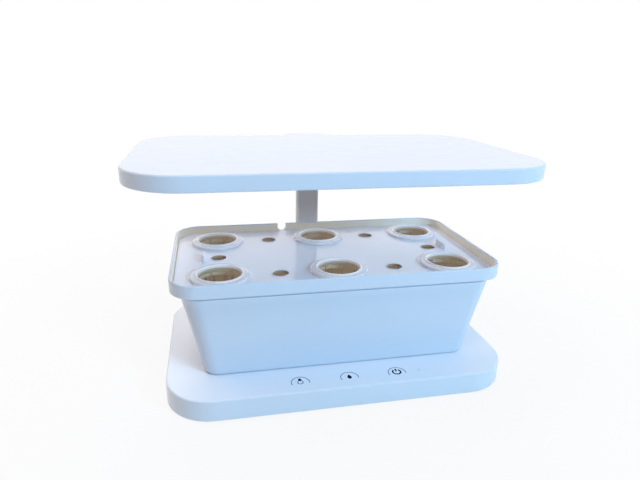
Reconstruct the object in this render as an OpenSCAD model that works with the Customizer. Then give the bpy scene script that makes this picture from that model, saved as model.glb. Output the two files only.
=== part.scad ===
// Countertop hydroponic garden: a base slab, a growing tank with a lift-out planting deck,
// six net pots, and a grow lamp on a telescoping mast.
// Millimetres, +Z up, the front is -Y. The origin lies on the worktop, under the middle of
// the whole object.

/* [Base] */
// Width of the base slab
base_w = 330; // [300:1:400]
// Depth of the base slab
base_d = 214; // [190:1:260]
// Height of the base slab without its feet
base_h = 21; // [20:0.5:30]
// Corner radius of the base slab in plan
base_r = 44; // [25:1:60]
// Wall of the base housing
base_wall = 2.5; // [2:0.1:3]
// Rounding along the edges of the base and lamp slabs
edge_r = 2.5; // [1:0.5:4]
// Thickness of the bottom plate
plate_t = 2.5; // [2.2:0.1:4]
// Radius of a rubber foot
foot_r = 8; // [6:0.5:12]
// Distance that the feet stand proud of the bottom plate
foot_proud = 1.5; // [1:0.1:4]
// Distance of the feet from the slab's sides
foot_inset = 38; // [30:1:60]
// Distance of the touch board's centre from the front edge
touch_inset = 16.5; // [14:0.5:30]
// Spacing of the three touch keys
key_pitch = 46.6; // [35:0.1:50]
// Distance of the power inlet from the middle
inlet_x = 90; // [70:1:110]

/* [Mast] */
// Width of the outer mast tube
mast_w = 26; // [22:0.5:30]
// Depth of the outer mast tube
mast_d = 16; // [14:0.5:18]
// Wall of both mast tubes
mast_wall = 1.5; // [1:0.1:2]
// Distance of the mast's centre behind the base slab
mast_behind = 17; // [14:1:24]
// Length of the inner mast tube
inner_len = 188; // [150:1:200]
// Gap between the collar and the lamp
collar_gap = 8.5; // [8:0.5:20]
// Width of the tongue that carries the mast, at its end
tongue_w = 52; // [50:1:70]
// Corner radius at the tongue's end
tongue_r = 8; // [4:1:12]
// Distance of the tongue's end behind the mast's centre
tongue_behind = 19.5; // [18:0.5:26]
// Angle of the tongue's sides
tongue_slope = 19.5; // [0:0.5:30]

/* [Lamp] */
// Width of the lamp
lamp_w = 377; // [345:1:450]
// Depth of the lamp without its tongue
lamp_d = 233; // [200:1:260]
// Thickness of the lamp
lamp_h = 14; // [14:0.5:24]
// Corner radius of the lamp in plan
lamp_r = 53; // [25:1:60]
// Wall of the lamp housing
lamp_wall = 2.2; // [1.8:0.1:3]
// Distance that the lamp slab reaches behind the mast's centre
lamp_over = 2.5; // [0:0.5:8]
// Clear height between the tank's rim and the lamp, at rest
grow_h = 84.5; // [70:0.5:120]
// Thickness of the lamp's bezel
bezel_t = 2.5; // [2.2:0.1:3]
// Width of the light window
window_w = 300; // [240:1:316]
// Depth of the light window
window_d = 160; // [120:1:166]
// Light chips along the width
chips_x = 12; // [6:1:20]
// Light chips along the depth
chips_y = 7; // [4:1:12]

/* [Tank] */
// Width over the tank's rim
rim_w = 313; // [290:1:376]
// Depth over the tank's rim
rim_d = 177; // [165:1:212]
// Corner radius of the rim
rim_r = 26; // [20:1:40]
// Height of the rim band
rim_h = 12.4; // [10:0.1:16]
// Wall of the rim band
rim_wall = 2.5; // [2:0.1:4]
// Height of the tub below the rim band
tub_h = 85.6; // [72:0.1:103]
// Overhang of the rim band past the tub, on each side
rim_over_x = 8; // [5:0.5:12]
// Overhang of the rim band past the tub, at the front and back
rim_over_y = 5; // [4:0.5:10]
// Taper of each of the tub's sides, from top to bottom
taper_x = 18.5; // [5:0.5:24]
// Taper of the tub's front and back, from top to bottom
taper_y = 12; // [3:0.5:16]
// Wall of the tub
tub_wall = 2.5; // [2:0.1:3.5]
// Corner radius at the tub's top
tub_top_r = 20; // [14:1:24]
// Corner radius at the tub's bottom
tub_low_r = 14; // [10:1:24]
// Thickness of the ledge that carries the deck
ledge_t = 2.4; // [2:0.1:4]
// Distance of the tank's centre behind the base's centre
tank_back = 3.7; // [0:0.1:8]
// Width of the U notch in the back of the rim
notch_w = 9.6; // [6:0.1:14]
// Depth of the U notch
notch_h = 8.5; // [5:0.1:9]
// Place of the U notch from the middle
notch_x = -36.3; // [-100:0.1:-30]

/* [Deck] */
// Thickness of the planting deck
deck_t = 2; // [1.5:0.1:3]
// Distance of the outer pots' centres from the deck's sides
pot_margin_x = 41.2; // [36:0.1:46]
// Distance of the pots' centres from the deck's front and back
pot_margin_y = 35.2; // [33:0.1:38]
// Radius of the small holes
hole_r = 7.5; // [5:0.5:9]
// Height of the small holes' raised edge
hole_lip = 0.6; // [0.3:0.1:1.2]
// Distance of the finger tabs from the deck's sides
tab_margin = 26; // [22:0.5:30]
// Length of a finger tab
tab_l = 22; // [14:0.5:30]
// Height of a finger tab
tab_h = 6; // [4:0.5:8]
// Thickness of a finger tab
tab_t = 2.6; // [2:0.1:4]

/* [Pots] */
// Radius of a pot's mouth
mouth_r = 20; // [18:0.5:21]
// Wall of a pot's neck
neck_wall = 2.2; // [1.5:0.1:2.5]
// Radius of a pot's flange
flange_r = 27.5; // [26:0.5:29]
// Height of a pot's lip above the deck
lip_h = 4.2; // [3.2:0.1:6]
// Depth of a pot below the deck's top
pot_deep = 55.5; // [45:0.5:56]
// Outer radius at a pot's bottom
pot_low_r = 15.5; // [13:0.5:18]
// Ribs of a pot's net basket
pot_ribs = 8; // [6:1:10]
// Width of those ribs
pot_rib_w = 2; // [1.6:0.1:3]

/* [Pump] */
// Radius of the pump's impeller
impeller_r = 12; // [9:0.5:15]
// Height of the pump's housing
pump_h = 15; // [14:0.5:20]
// Number of impeller vanes
vanes = 6; // [4:1:8]

/* [Fits] */
// Gap round parts that are put together once
fit = 0.1; // [0.05:0.01:0.2]
// Gap round parts that slide or turn
slide_fit = 0.05; // [0.03:0.01:0.09]
// Gap between covers and the walls round them
cover_gap = 0.3; // [0.2:0.1:0.6]
// Gap between the deck and the rim
deck_gap = 0.8; // [0.5:0.1:1.5]
// Gap between a pot and its hole
pot_gap = 0.4; // [0.2:0.1:0.8]

/* [Hidden] */
$fn = 64;
POTS = 6;

// Places along Y, first from the base's centre, then from the origin
mast_rel = base_d / 2 + mast_behind;
lamp_rel = mast_rel + lamp_over - lamp_d / 2;
back_rel = mast_rel + tongue_behind;
front_rel = min(-base_d / 2, lamp_rel - lamp_d / 2);
base_y = -(front_rel + back_rel) / 2;
mast_y = base_y + mast_rel;
lamp_y = base_y + lamp_rel;
tank_y = base_y + tank_back;
tongue_y = base_y + back_rel - tongue_r;
touch_y = base_y - base_d / 2 + touch_inset;

// Heights
base_top = foot_proud + base_h;
base_roof = base_top - base_wall;
plate_top = foot_proud + plate_t;
tub_floor = base_top + tub_wall;
rim_z = base_top + tub_h;
ledge_z = rim_z + ledge_t;
deck_top = ledge_z + deck_t;
rim_top = rim_z + rim_h;
lamp_z = rim_top + grow_h;
lamp_roof = lamp_z + lamp_h - lamp_wall;
bezel_top = lamp_z + bezel_t;

// Tongue
tongue_root = (tongue_y - (base_y + base_d / 2 - 1.5 * tongue_r)) / cos(tongue_slope);
tongue_cx = tongue_w / 2 - tongue_r;

// Screws: head radius and height, shank radius and length
head_r = 2.6;
head_h = 1.2;
shank_r = 1.2;
screw_l = 8;
pilot_r = shank_r + slide_fit;
boss_r = 3.5;
small_head_r = 2.2;
small_shank_r = 0.9;
small_screw_l = 5;
small_pilot_r = small_shank_r + slide_fit;

// Base insides
base_rib_x = 32;
base_rib_y = 45;
base_rib_t = 1.5;
base_rib_h = 5;
base_screw_xy = [for (s = [-1, 1]) each [
    [s * (base_w / 2 - 10), base_y],
    [s * (base_w / 2 - base_r - 11), base_y - base_d / 2 + 11],
    [s * 60, base_y + base_d / 2 - 11]]];
foot_xy = [for (sx = [-1, 1], sy = [-1, 1])
    [sx * (base_w / 2 - foot_inset), base_y + sy * (base_d / 2 - foot_inset)]];
touch_size = [3 * key_pitch + 4, 24, 1.2];
light_x = key_pitch + 24.7;
light_r = 1.2;
board_size = [80, 60, 1.6];
board_xy = [85, base_y - 5];
board_rise = 4;
board_screw_xy = [for (sx = [-1, 1], sy = [-1, 1])
    board_xy + [sx * (board_size[0] / 2 - 4), sy * (board_size[1] / 2 - 4)]];
inlet_size = [9, 13, 11];
inlet_z = plate_top + inlet_size[2] / 2;
inlet_front = base_y + base_d / 2 - base_wall;
jack_r = 3;
jack_pin_r = 1;
nose_r = 4;

// Pump drive
motor_r = 13;
motor_h = 8.5;
motor_z = plate_top + 0.5;
shaft_r = 1;
magnet_r = impeller_r - 1;
magnet_t = 3;
drive_z = base_roof - 1 - magnet_t;
axle_r = 1;
boss_h = 3;
impeller_z = tub_floor + 0.8;
vane_z = impeller_z + magnet_t + 1.2;
vane_h = pump_h - 8;
vane_bend = impeller_r;
vane_root = 2.5;
vane_t = 1.2;
pump_r = impeller_r + 3.6;
pump_wall = 1.6;
pump_top = tub_floor + pump_h;

// Mast
foot_size = [44, 25];
mast_low = plate_top + 2;
collar_top = lamp_z - collar_gap;
collar_lip = 2.5;
collar_wall = 2;
collar_h = 12.5;
outer_top = collar_top - collar_lip;
mast_r = 3;
inner_gap = 0.4;
inner_w = mast_w - 2 * mast_wall - 2 * inner_gap;
inner_d = mast_d - 2 * mast_wall - 2 * inner_gap;
inner_r = mast_r - mast_wall;
inner_top = lamp_roof - 2;
inner_low = inner_top - inner_len;
glide_h = 6;
mast_screw_xy = [for (sx = [-1, 1], sy = [-1, 1])
    [sx * (foot_size[0] + mast_w) / 4, mast_y + sy * 8]];

// Lamp insides
bracket_flange_t = 2.5;
bracket_boss_h = 4;
bracket_z = lamp_roof - bracket_boss_h - bracket_flange_t;
lamp_screw_xy = [for (sx = [-1, 1], sy = [-1, 1]) each [
    [sx * (lamp_w / 2 - 11), lamp_y + sy * 40],
    [sx * (lamp_w / 2 - lamp_r - 41), lamp_y + sy * (lamp_d / 2 - 11)]]];
diffuser_t = 1.5;
diffuser_lap = 4;
led_size = [window_w, window_d, 1.6];
led_z = lamp_roof - 3 - led_size[2];
led_margin = 10;
led_screw_xy = [for (x = [-1, 0, 1], sy = [-1, 1])
    [x * (led_size[0] / 2 - led_margin), lamp_y + sy * (led_size[1] / 2 - led_margin)]];
chip_size = [2.8, 3.5, 0.8];

// Tank and deck
tub_top = [rim_w - 2 * rim_over_x, rim_d - 2 * rim_over_y];
tub_taper = [taper_x, taper_y];
tub_low = tub_top - 2 * tub_taper;
tub_edge = 3;
mouth_z = ledge_z + 0.5;
// Width and depth inside the tub at height z
function tub_inside(z) = [for (i = [0, 1])
    tub_top[i] - 2 * tub_wall - 2 * tub_taper[i] * (mouth_z - z) / (mouth_z - tub_floor)];
deck_size = [for (s = [rim_w, rim_d]) s - 2 * rim_wall - 2 * deck_gap];
deck_r = rim_r - rim_wall - deck_gap;
pot_dx = deck_size[0] / 2 - pot_margin_x;
pot_dy = deck_size[1] / 2 - pot_margin_y;
pot_xy = [for (y = [-1, 1], x = [-1, 0, 1]) [x * pot_dx, tank_y + y * pot_dy]];
hole_rim_r = hole_r + 1.2;
hole_clear = 1;
// The side holes move inwards where the deck is too shallow for them between two pots
side_hole_in = sqrt(max(0, pow(flange_r + hole_rim_r + hole_clear, 2) - pow(pot_dy, 2)));
hole_xy = concat(
    [for (x = [-1, 1], y = [-1, 1]) [x * pot_dx / 2, tank_y + y * pot_dy]],
    [for (x = [-1, 1]) [x * (pot_dx - side_hole_in), tank_y]]);
neck_r = mouth_r + neck_wall;
sleeve_r = neck_r + pot_gap;
sleeve_wall = 1.8;
sleeve_h = 5;
neck_h = 2.5;
flange_t = 1.4;
flange_h = 3;
basket_wall = 1.5;
hoop_h = 1.6;
pot_floor_t = 3;
pot_slot = [8, 3];
pot_slot_from = 4;
pot_drain_r = 2.2;
skirt_t = 1.6;
skirt_h = 4;
skirt_gap = 0.6;
skirt_size = [for (s = tub_inside(ledge_z - skirt_h)) s - 2 * skirt_gap];
skirt_r = tub_top_r - tub_wall - skirt_gap;
rib_t = 1.6;
rib_h = 5;

// ---- Shared shapes ----

// Rectangle w by d with corners of radius r
module rounded(w, d, r) {
    square([w - 2 * r, d], center = true);
    square([w, d - 2 * r], center = true);
    for (sx = [-1, 1], sy = [-1, 1])
        translate([sx * (w / 2 - r), sy * (d / 2 - r)]) circle(r);
}

// Plate with rounded corners from height z up, t thick
module sheet(w, d, r, z, t) {
    translate([0, 0, z]) linear_extrude(t) rounded(w, d, r);
}

// Tube of rounded rectangular section
module box_tube(w, d, r, wall, z, h) {
    translate([0, 0, z]) linear_extrude(h) difference() {
        rounded(w, d, r);
        rounded(w - 2 * wall, d - 2 * wall, max(r - wall, 0.5));
    }
}

// Prism of the tongue, drawn in by inset, from height z up
module tongue(inset, z, h) {
    r = tongue_r - inset;
    c = cos(tongue_slope);
    s = sin(tongue_slope);
    right = [
        [tongue_cx, tongue_y + r],
        [tongue_cx + r * c, tongue_y + r * s],
        [tongue_cx + r * c + tongue_root * s, tongue_y + r * s - tongue_root * c]];
    left = [for (i = [2:-1:0]) [-right[i][0], right[i][1]]];
    translate([0, 0, z]) linear_extrude(h) polygon(concat(right, left));
    for (side = [-1, 1]) post([side * tongue_cx, tongue_y], z, r, h);
}

// Prism of a slab with its tongue, drawn in by inset, from height z up
module slab(w, d, r, y, inset, z, h) {
    translate([0, y, 0]) sheet(w - 2 * inset, d - 2 * inset, r - inset, z, h);
    tongue(inset, z, h);
}

// Disc with both rims rounded
module puck(r, h, e) {
    steps = [0:22.5:90];
    rotate_extrude() polygon(concat(
        [[0, 0]],
        [for (a = steps) [r - e + e * sin(a), e - e * cos(a)]],
        [for (a = steps) [r - e + e * cos(a), h - e + e * sin(a)]],
        [[0, h]]));
}

// Slab with its tongue, all edges rounded
module soft_slab(w, d, r, y, z, h) {
    translate([0, y, z]) hull() for (sx = [-1, 1], sy = [-1, 1])
        translate([sx * (w / 2 - r), sy * (d / 2 - r), 0]) puck(r, h, edge_r);
    translate([0, 0, z]) hull() for (side = [-1, 1], back = [0, tongue_root])
        translate([side * (tongue_cx + back * sin(tongue_slope)),
            tongue_y - back * cos(tongue_slope), 0]) puck(tongue_r, h, edge_r);
}

// Cylinder at a point of a list, from z up
module post(xy, z, r, h) {
    translate([xy[0], xy[1], z]) cylinder(r = r, h = h);
}

// Pan-head screw that points up, with its head's underside at the seat
module screw(seat, length, hr, hh, sr) {
    difference() {
        translate([0, 0, seat - hh]) cylinder(r = hr, h = hh);
        for (turn = [0, 90]) rotate(turn)
            translate([-hr * 0.6, -0.3, seat - hh - 0.1]) cube([hr * 1.2, 0.6, hh / 2]);
    }
    translate([0, 0, seat]) cylinder(r = sr, h = length);
}

module housing_screws(points, seat) {
    for (p = points) translate([p[0], p[1], 0])
        screw(seat, screw_l, head_r, head_h, shank_r);
}

// Stepped holes in a cover of thickness t: the screw's way through and its head's recess
module screw_seats(points, z, t) {
    for (p = points) {
        post(p, z - 1, head_r + fit, head_h + fit + 1);
        post(p, z, shank_r + fit, t + 1);
    }
}

// ---- Base ----

module base_housing() {
    color("white") difference() {
        union() {
            difference() {
                soft_slab(base_w, base_d, base_r, base_y, foot_proud, base_h);
                slab(base_w, base_d, base_r, base_y, base_wall, 0, base_roof);
            }
            for (p = base_screw_xy) post(p, plate_top, boss_r, base_roof - plate_top);
            base_ribs();
        }
        for (p = base_screw_xy) post(p, plate_top - 1, pilot_r, screw_l + 2);
        translate([0, mast_y, base_roof - 1]) linear_extrude(base_wall + 2)
            rounded(mast_w + 2 * cover_gap, mast_d + 2 * cover_gap, mast_r + cover_gap);
        post([light_x, touch_y], base_roof - 1, light_r + slide_fit, base_wall + 2);
        translate([inlet_x, inlet_front - 1, inlet_z]) rotate([-90, 0, 0])
            cylinder(r = nose_r + fit, h = base_wall + 2);
    }
}

// Ribs under the roof that carry the tank's weight to the walls
module base_ribs() {
    reach = base_w - 2 * base_wall + 1;
    z = base_roof - base_rib_h;
    for (side = [-1, 1]) {
        translate([-reach / 2, base_y + side * base_rib_y - base_rib_t / 2, z])
            cube([reach, base_rib_t, base_rib_h]);
        translate([side * base_rib_x - base_rib_t / 2, base_y - base_rib_y, z])
            cube([base_rib_t, 2 * base_rib_y, base_rib_h]);
    }
}

module base_bottom_plate() {
    color("gainsboro") difference() {
        union() {
            slab(base_w, base_d, base_r, base_y, base_wall + cover_gap, foot_proud, plate_t);
            for (p = board_screw_xy) post(p, plate_top, 3, board_rise);
            translate([0, tank_y, plate_top]) difference() {
                cylinder(r = motor_r + fit + 2, h = motor_h * 0.6);
                translate([0, 0, motor_z - plate_top])
                    cylinder(r = motor_r + fit, h = motor_h);
            }
        }
        for (p = board_screw_xy) post(p, plate_top - 1, small_pilot_r, board_rise + 2);
        for (p = foot_xy) post(p, foot_proud - 1, foot_r + fit, 2);
        screw_seats(concat(base_screw_xy, mast_screw_xy), foot_proud, plate_t);
    }
}

module rubber_feet() {
    color("dimgray") for (p = foot_xy) post(p, 0, foot_r, foot_proud + 1);
}

module base_screws() {
    color("silver") housing_screws(concat(base_screw_xy, mast_screw_xy),
        foot_proud + head_h + fit);
}

// Circuit board glued under the roof, with a copper pad below each key
module touch_board() {
    z = base_roof - touch_size[2];
    color("darkgreen") difference() {
        translate([-touch_size[0] / 2 + 3, touch_y - touch_size[1] / 2, z]) cube(touch_size);
        post([light_x, touch_y], z - 1, 2 + fit, touch_size[2] + 2);
    }
    color("peru") for (i = [-1, 0, 1]) post([i * key_pitch, touch_y], z - 0.4, 8, 0.4);
}

module status_light_pipe() {
    color("lightblue") {
        post([light_x, touch_y], base_roof - 1, 2, 1);
        post([light_x, touch_y], base_roof - 1, light_r, base_wall + 1);
    }
}

module control_board() {
    z = plate_top + board_rise;
    top = z + board_size[2];
    color("darkgreen") difference() {
        translate([board_xy[0], board_xy[1], z + board_size[2] / 2])
            cube(board_size, center = true);
        for (p = board_screw_xy) post(p, z - 1, small_shank_r + fit, board_size[2] + 2);
    }
    color("black") translate([board_xy[0] - 12, board_xy[1] - 8, top]) cube([12, 12, 1.6]);
    color("black") translate([board_xy[0] + 12, board_xy[1] - 4, top]) cube([8, 6, 2]);
    color("slategray") for (i = [0:2]) post(board_xy + [-20 + 12 * i, 20], top, 3.2, 4);
    color("ivory") for (i = [0:1])
        translate([board_xy[0] - 34, board_xy[1] - 12 + 16 * i, top]) cube([6, 10, 4]);
}

module board_screws() {
    top = plate_top + board_rise + board_size[2];
    color("silver") for (p = board_screw_xy) translate([p[0], p[1], top]) mirror([0, 0, 1])
        screw(0, small_screw_l, small_head_r, 1, small_shank_r);
}

// Round socket with a centre pin, its nose in the housing's back wall
module power_inlet() {
    depth = inlet_size[1];
    color("black") difference() {
        union() {
            translate([inlet_x - inlet_size[0] / 2, inlet_front - depth, plate_top])
                cube(inlet_size);
            translate([inlet_x, inlet_front - 1, inlet_z]) rotate([-90, 0, 0])
                cylinder(r = nose_r, h = base_wall + 1);
        }
        translate([inlet_x, inlet_front - depth + 2, inlet_z]) rotate([-90, 0, 0])
            cylinder(r = jack_r, h = depth + base_wall);
    }
    color("silver") translate([inlet_x, inlet_front - depth + 1, inlet_z])
        rotate([-90, 0, 0]) cylinder(r = jack_pin_r, h = depth - 2);
}

// ---- Pump ----

module pump_motor() {
    color("silver") translate([0, tank_y, motor_z]) difference() {
        cylinder(r = motor_r, h = motor_h);
        translate([0, 0, 1]) cylinder(r = shaft_r + slide_fit, h = motor_h);
    }
}

module drive_shaft() {
    color("gray") post([0, tank_y], motor_z + 1, shaft_r, drive_z + magnet_t - motor_z - 1);
}

module drive_magnet() {
    color("dimgray") ring_at(drive_z, magnet_r, shaft_r, magnet_t);
}

// Flat ring on the pump's axis
module ring_at(z, outer, inner, h) {
    translate([0, tank_y, z]) difference() {
        cylinder(r = outer, h = h);
        translate([0, 0, -1]) cylinder(r = inner, h = h + 2);
    }
}

module pump_axle() {
    color("ghostwhite") post([0, tank_y], tub_floor, axle_r, pump_h - 0.5);
}

module impeller_magnet() {
    color("dimgray") ring_at(impeller_z, magnet_r, axle_r + 3, magnet_t);
}

// Disc with curved vanes over the ring magnet
module impeller() {
    top = vane_z + vane_h;
    color("steelblue") difference() {
        union() {
            ring_at(impeller_z + magnet_t, impeller_r, axle_r + slide_fit,
                vane_z - impeller_z - magnet_t);
            ring_at(vane_z, 3, axle_r + slide_fit, top - vane_z);
            for (i = [0:vanes - 1]) translate([0, tank_y, vane_z]) rotate(i * 360 / vanes)
                intersection() {
                    translate([vane_root - 0.5, -vane_bend, 0]) difference() {
                        cylinder(r = vane_bend + vane_t / 2, h = vane_h);
                        translate([0, 0, -1]) cylinder(r = vane_bend - vane_t / 2, h = vane_h + 2);
                    }
                    cylinder(r = impeller_r - 0.4, h = vane_h);
                    translate([vane_root, -impeller_r, -1])
                        cube([impeller_r, 2 * impeller_r, vane_h + 2]);
                }
        }
        post([0, tank_y], impeller_z, axle_r + slide_fit, top - impeller_z + 1);
    }
}

// Volute with its outlet, standing in the ring on the tank's floor
module pump_housing() {
    outlet_z = vane_z + vane_h / 2;
    outlet_x = pump_r - 4.5;
    color("whitesmoke") difference() {
        union() {
            post([0, tank_y], tub_floor, pump_r, pump_h);
            translate([outlet_x, tank_y, outlet_z]) rotate([90, 0, 0])
                cylinder(r = 4.2, h = pump_r + 9);
        }
        post([0, tank_y], tub_floor - 1, pump_r - pump_wall, pump_h + 2);
        translate([outlet_x, tank_y, outlet_z]) rotate([90, 0, 0])
            cylinder(r = 2.8, h = pump_r + 10);
    }
}

// Lid with the intake slots and the axle's upper bearing
module pump_cap() {
    color("lightgray") difference() {
        union() {
            post([0, tank_y], pump_top, pump_r, 2);
            post([0, tank_y], pump_top - 2.5, pump_r - pump_wall - fit, 2.5);
        }
        difference() {
            post([0, tank_y], pump_top - 3, pump_r - pump_wall - fit - 1.5, 3);
            post([0, tank_y], pump_top - 3, 3, 3);
        }
        post([0, tank_y], pump_top - 3, axle_r + slide_fit, 3);
        for (i = [0:7]) translate([0, tank_y, pump_top - 1]) rotate(i * 45)
            translate([4.5, -1, 0]) cube([pump_r - 8.5, 2, 4]);
    }
}

// ---- Mast ----

// Block in the base's tongue with the socket for the mast
module mast_foot() {
    color("dimgray") difference() {
        translate([-foot_size[0] / 2, mast_y - foot_size[1] / 2, plate_top])
            cube([foot_size[0], foot_size[1], base_roof - plate_top]);
        translate([0, mast_y, mast_low]) linear_extrude(base_h)
            rounded(mast_w + 2 * fit, mast_d + 2 * fit, mast_r + fit);
        for (p = mast_screw_xy) post(p, plate_top - 1, pilot_r, screw_l + 2);
    }
}

module mast_outer_tube() {
    color("slategray") translate([0, mast_y, 0])
        box_tube(mast_w, mast_d, mast_r, mast_wall, mast_low, outer_top - mast_low);
}

// Cap on the outer tube whose lip guides the inner tube
module mast_collar() {
    w = mast_w + 2 * fit + 2 * collar_wall;
    d = mast_d + 2 * fit + 2 * collar_wall;
    color("darkslategray") translate([0, mast_y, 0]) difference() {
        sheet(w, d, mast_r + collar_wall, collar_top - collar_h, collar_h);
        sheet(mast_w + 2 * fit, mast_d + 2 * fit, mast_r + fit,
            collar_top - collar_h - 1, collar_h - collar_lip + 1);
        sheet(inner_w + 2 * slide_fit, inner_d + 2 * slide_fit, inner_r + slide_fit,
            collar_top - collar_h - 1, collar_h + 2);
    }
}

module mast_inner_tube() {
    color("lightslategray") translate([0, mast_y, 0])
        box_tube(inner_w, inner_d, inner_r, mast_wall, inner_low, inner_len);
}

// Plug in the inner tube's lower end that rubs in the outer tube
module mast_glide() {
    pad = inner_gap - slide_fit;
    color("ivory") translate([0, mast_y, 0]) {
        sheet(inner_w + 2 * pad, inner_d + 2 * pad, inner_r, inner_low - glide_h, glide_h);
        sheet(inner_w - 2 * mast_wall, inner_d - 2 * mast_wall, 0.5, inner_low, 8);
    }
}

// ---- Lamp ----

// Socket that clamps the inner tube, screwed to the lamp housing
module lamp_bracket() {
    color("dimgray") difference() {
        union() {
            translate([0, mast_y, 0]) sheet(foot_size[0], foot_size[1] - 1, 4,
                bracket_z, bracket_flange_t);
            translate([0, mast_y, 0]) sheet(inner_w + 5, inner_d + 5, 3,
                bezel_top, lamp_roof - bezel_top);
        }
        translate([0, mast_y, 0]) sheet(inner_w + 2 * fit, inner_d + 2 * fit, inner_r + fit,
            bezel_top - 1, inner_top - bezel_top + 1);
        for (p = mast_screw_xy) post(p, bracket_z - 1, shank_r + fit, 5);
    }
}

module bracket_screws() {
    color("silver") for (p = mast_screw_xy) translate([p[0], p[1], 0])
        screw(bracket_z, bracket_flange_t + bracket_boss_h - 1, head_r, head_h, shank_r);
}

module lamp_housing() {
    color("white") difference() {
        union() {
            difference() {
                soft_slab(lamp_w, lamp_d, lamp_r, lamp_y, lamp_z, lamp_h);
                slab(lamp_w, lamp_d, lamp_r, lamp_y, lamp_wall, lamp_z - 1,
                    lamp_roof - lamp_z + 1);
            }
            for (p = lamp_screw_xy) post(p, bezel_top, boss_r, lamp_roof - bezel_top);
            for (p = led_screw_xy) post(p, led_z + led_size[2], 3, 3);
            for (p = mast_screw_xy)
                post(p, lamp_roof - bracket_boss_h, 3, bracket_boss_h);
        }
        for (p = lamp_screw_xy) post(p, bezel_top - 1, pilot_r, screw_l + 1);
        for (p = led_screw_xy) post(p, led_z, small_pilot_r, small_screw_l);
        for (p = mast_screw_xy) post(p, bracket_z, pilot_r, lamp_roof - bracket_z + 0.5);
    }
}

// Frame round the light window, closing the housing from below
module lamp_bezel() {
    color("white") difference() {
        slab(lamp_w, lamp_d, lamp_r, lamp_y, lamp_wall + cover_gap, lamp_z, bezel_t);
        translate([0, lamp_y, 0]) sheet(window_w, window_d, 16, lamp_z - 1, bezel_t + 2);
        translate([0, mast_y, 0]) sheet(inner_w + 2 * cover_gap, inner_d + 2 * cover_gap,
            inner_r + cover_gap, lamp_z - 1, bezel_t + 2);
        screw_seats(lamp_screw_xy, lamp_z, bezel_t);
    }
}

module lamp_screws() {
    color("silver") housing_screws(lamp_screw_xy, lamp_z + head_h + fit);
}

module lamp_diffuser() {
    color("aliceblue") translate([0, lamp_y, 0])
        sheet(window_w + 2 * diffuser_lap, window_d + 2 * diffuser_lap, 20,
            bezel_top, diffuser_t);
}

module led_board() {
    color("whitesmoke") difference() {
        translate([0, lamp_y, led_z + led_size[2] / 2]) cube(led_size, center = true);
        for (p = led_screw_xy) post(p, led_z - 1, small_shank_r + fit, led_size[2] + 2);
    }
}

module led_chips() {
    span = [led_size[0] - 4 * led_margin, led_size[1] - 4 * led_margin];
    color("khaki") for (i = [0:chips_x - 1], j = [0:chips_y - 1])
        translate([
            (i / (chips_x - 1) - 0.5) * span[0],
            lamp_y + (j / (chips_y - 1) - 0.5) * span[1],
            led_z - chip_size[2] / 2]) cube(chip_size, center = true);
}

module led_board_screws() {
    color("silver") for (p = led_screw_xy) translate([p[0], p[1], 0])
        screw(led_z, small_screw_l - 1, small_head_r, 1, small_shank_r);
}

// ---- Tank ----

// Tapered tub drawn in by inset, from z up to the height top
module tub(inset, z, top) {
    r = tub_low_r - inset;
    low_corner = concat([[0, 0]],
        [for (a = [0:22.5:90]) [r - tub_edge + tub_edge * sin(a), tub_edge * (1 - cos(a))]],
        [[0, tub_edge]]);
    low = tub_low / 2 - [tub_low_r, tub_low_r];
    high = tub_top / 2 - [tub_top_r, tub_top_r];
    translate([0, tank_y, 0]) hull() for (sx = [-1, 1], sy = [-1, 1]) {
        translate([sx * low[0], sy * low[1], z]) rotate_extrude() polygon(low_corner);
        translate([sx * high[0], sy * high[1], top - 0.01])
            cylinder(r = tub_top_r - inset, h = 0.01);
    }
}

module tank() {
    color("white") difference() {
        union() {
            tub(0, base_top, rim_z);
            translate([0, tank_y, 0]) sheet(rim_w, rim_d, rim_r, rim_z, rim_h);
        }
        difference() {
            tub(tub_wall, tub_floor, mouth_z);
            post([0, tank_y], tub_floor - 1, axle_r + 2, 1 + boss_h);
            ring_at(tub_floor - 1, pump_r + fit + 1.6, pump_r + fit, 3);
        }
        translate([0, tank_y, 0]) sheet(rim_w - 2 * rim_wall, rim_d - 2 * rim_wall,
            rim_r - rim_wall, ledge_z, rim_h);
        post([0, tank_y], tub_floor, axle_r, boss_h + 1);
        rim_notch();
    }
}

// U notch through the back of the rim band
module rim_notch() {
    low = rim_top - notch_h;
    translate([notch_x, tank_y + rim_d / 2 - rim_wall - 1, 0]) {
        translate([0, 0, low + notch_w / 2]) rotate([-90, 0, 0])
            cylinder(r = notch_w / 2, h = rim_wall + 2);
        translate([-notch_w / 2, 0, low + notch_w / 2]) cube([notch_w, rim_wall + 2, notch_h]);
    }
}

// ---- Planting deck ----

module deck() {
    color("white") difference() {
        union() {
            translate([0, tank_y, 0]) {
                sheet(deck_size[0], deck_size[1], deck_r, ledge_z, deck_t);
                box_tube(skirt_size[0], skirt_size[1], skirt_r, skirt_t,
                    ledge_z - skirt_h, skirt_h);
            }
            intersection() {
                deck_ribs();
                translate([0, tank_y, 0])
                    sheet(skirt_size[0] - 2, skirt_size[1] - 2, skirt_r,
                        ledge_z - rib_h, rib_h);
            }
            for (p = pot_xy) post(p, ledge_z - sleeve_h, sleeve_r + sleeve_wall, sleeve_h);
            for (p = hole_xy) post(p, deck_top, hole_rim_r, hole_lip);
            for (side = [-1, 1])
                translate([side * (deck_size[0] / 2 - tab_margin), tank_y, deck_top])
                    finger_tab();
        }
        for (p = pot_xy) post(p, ledge_z - sleeve_h - 1, sleeve_r, sleeve_h + deck_t + 2);
        for (p = hole_xy) post(p, ledge_z - 1, hole_r, deck_t + 3);
    }
}

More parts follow.
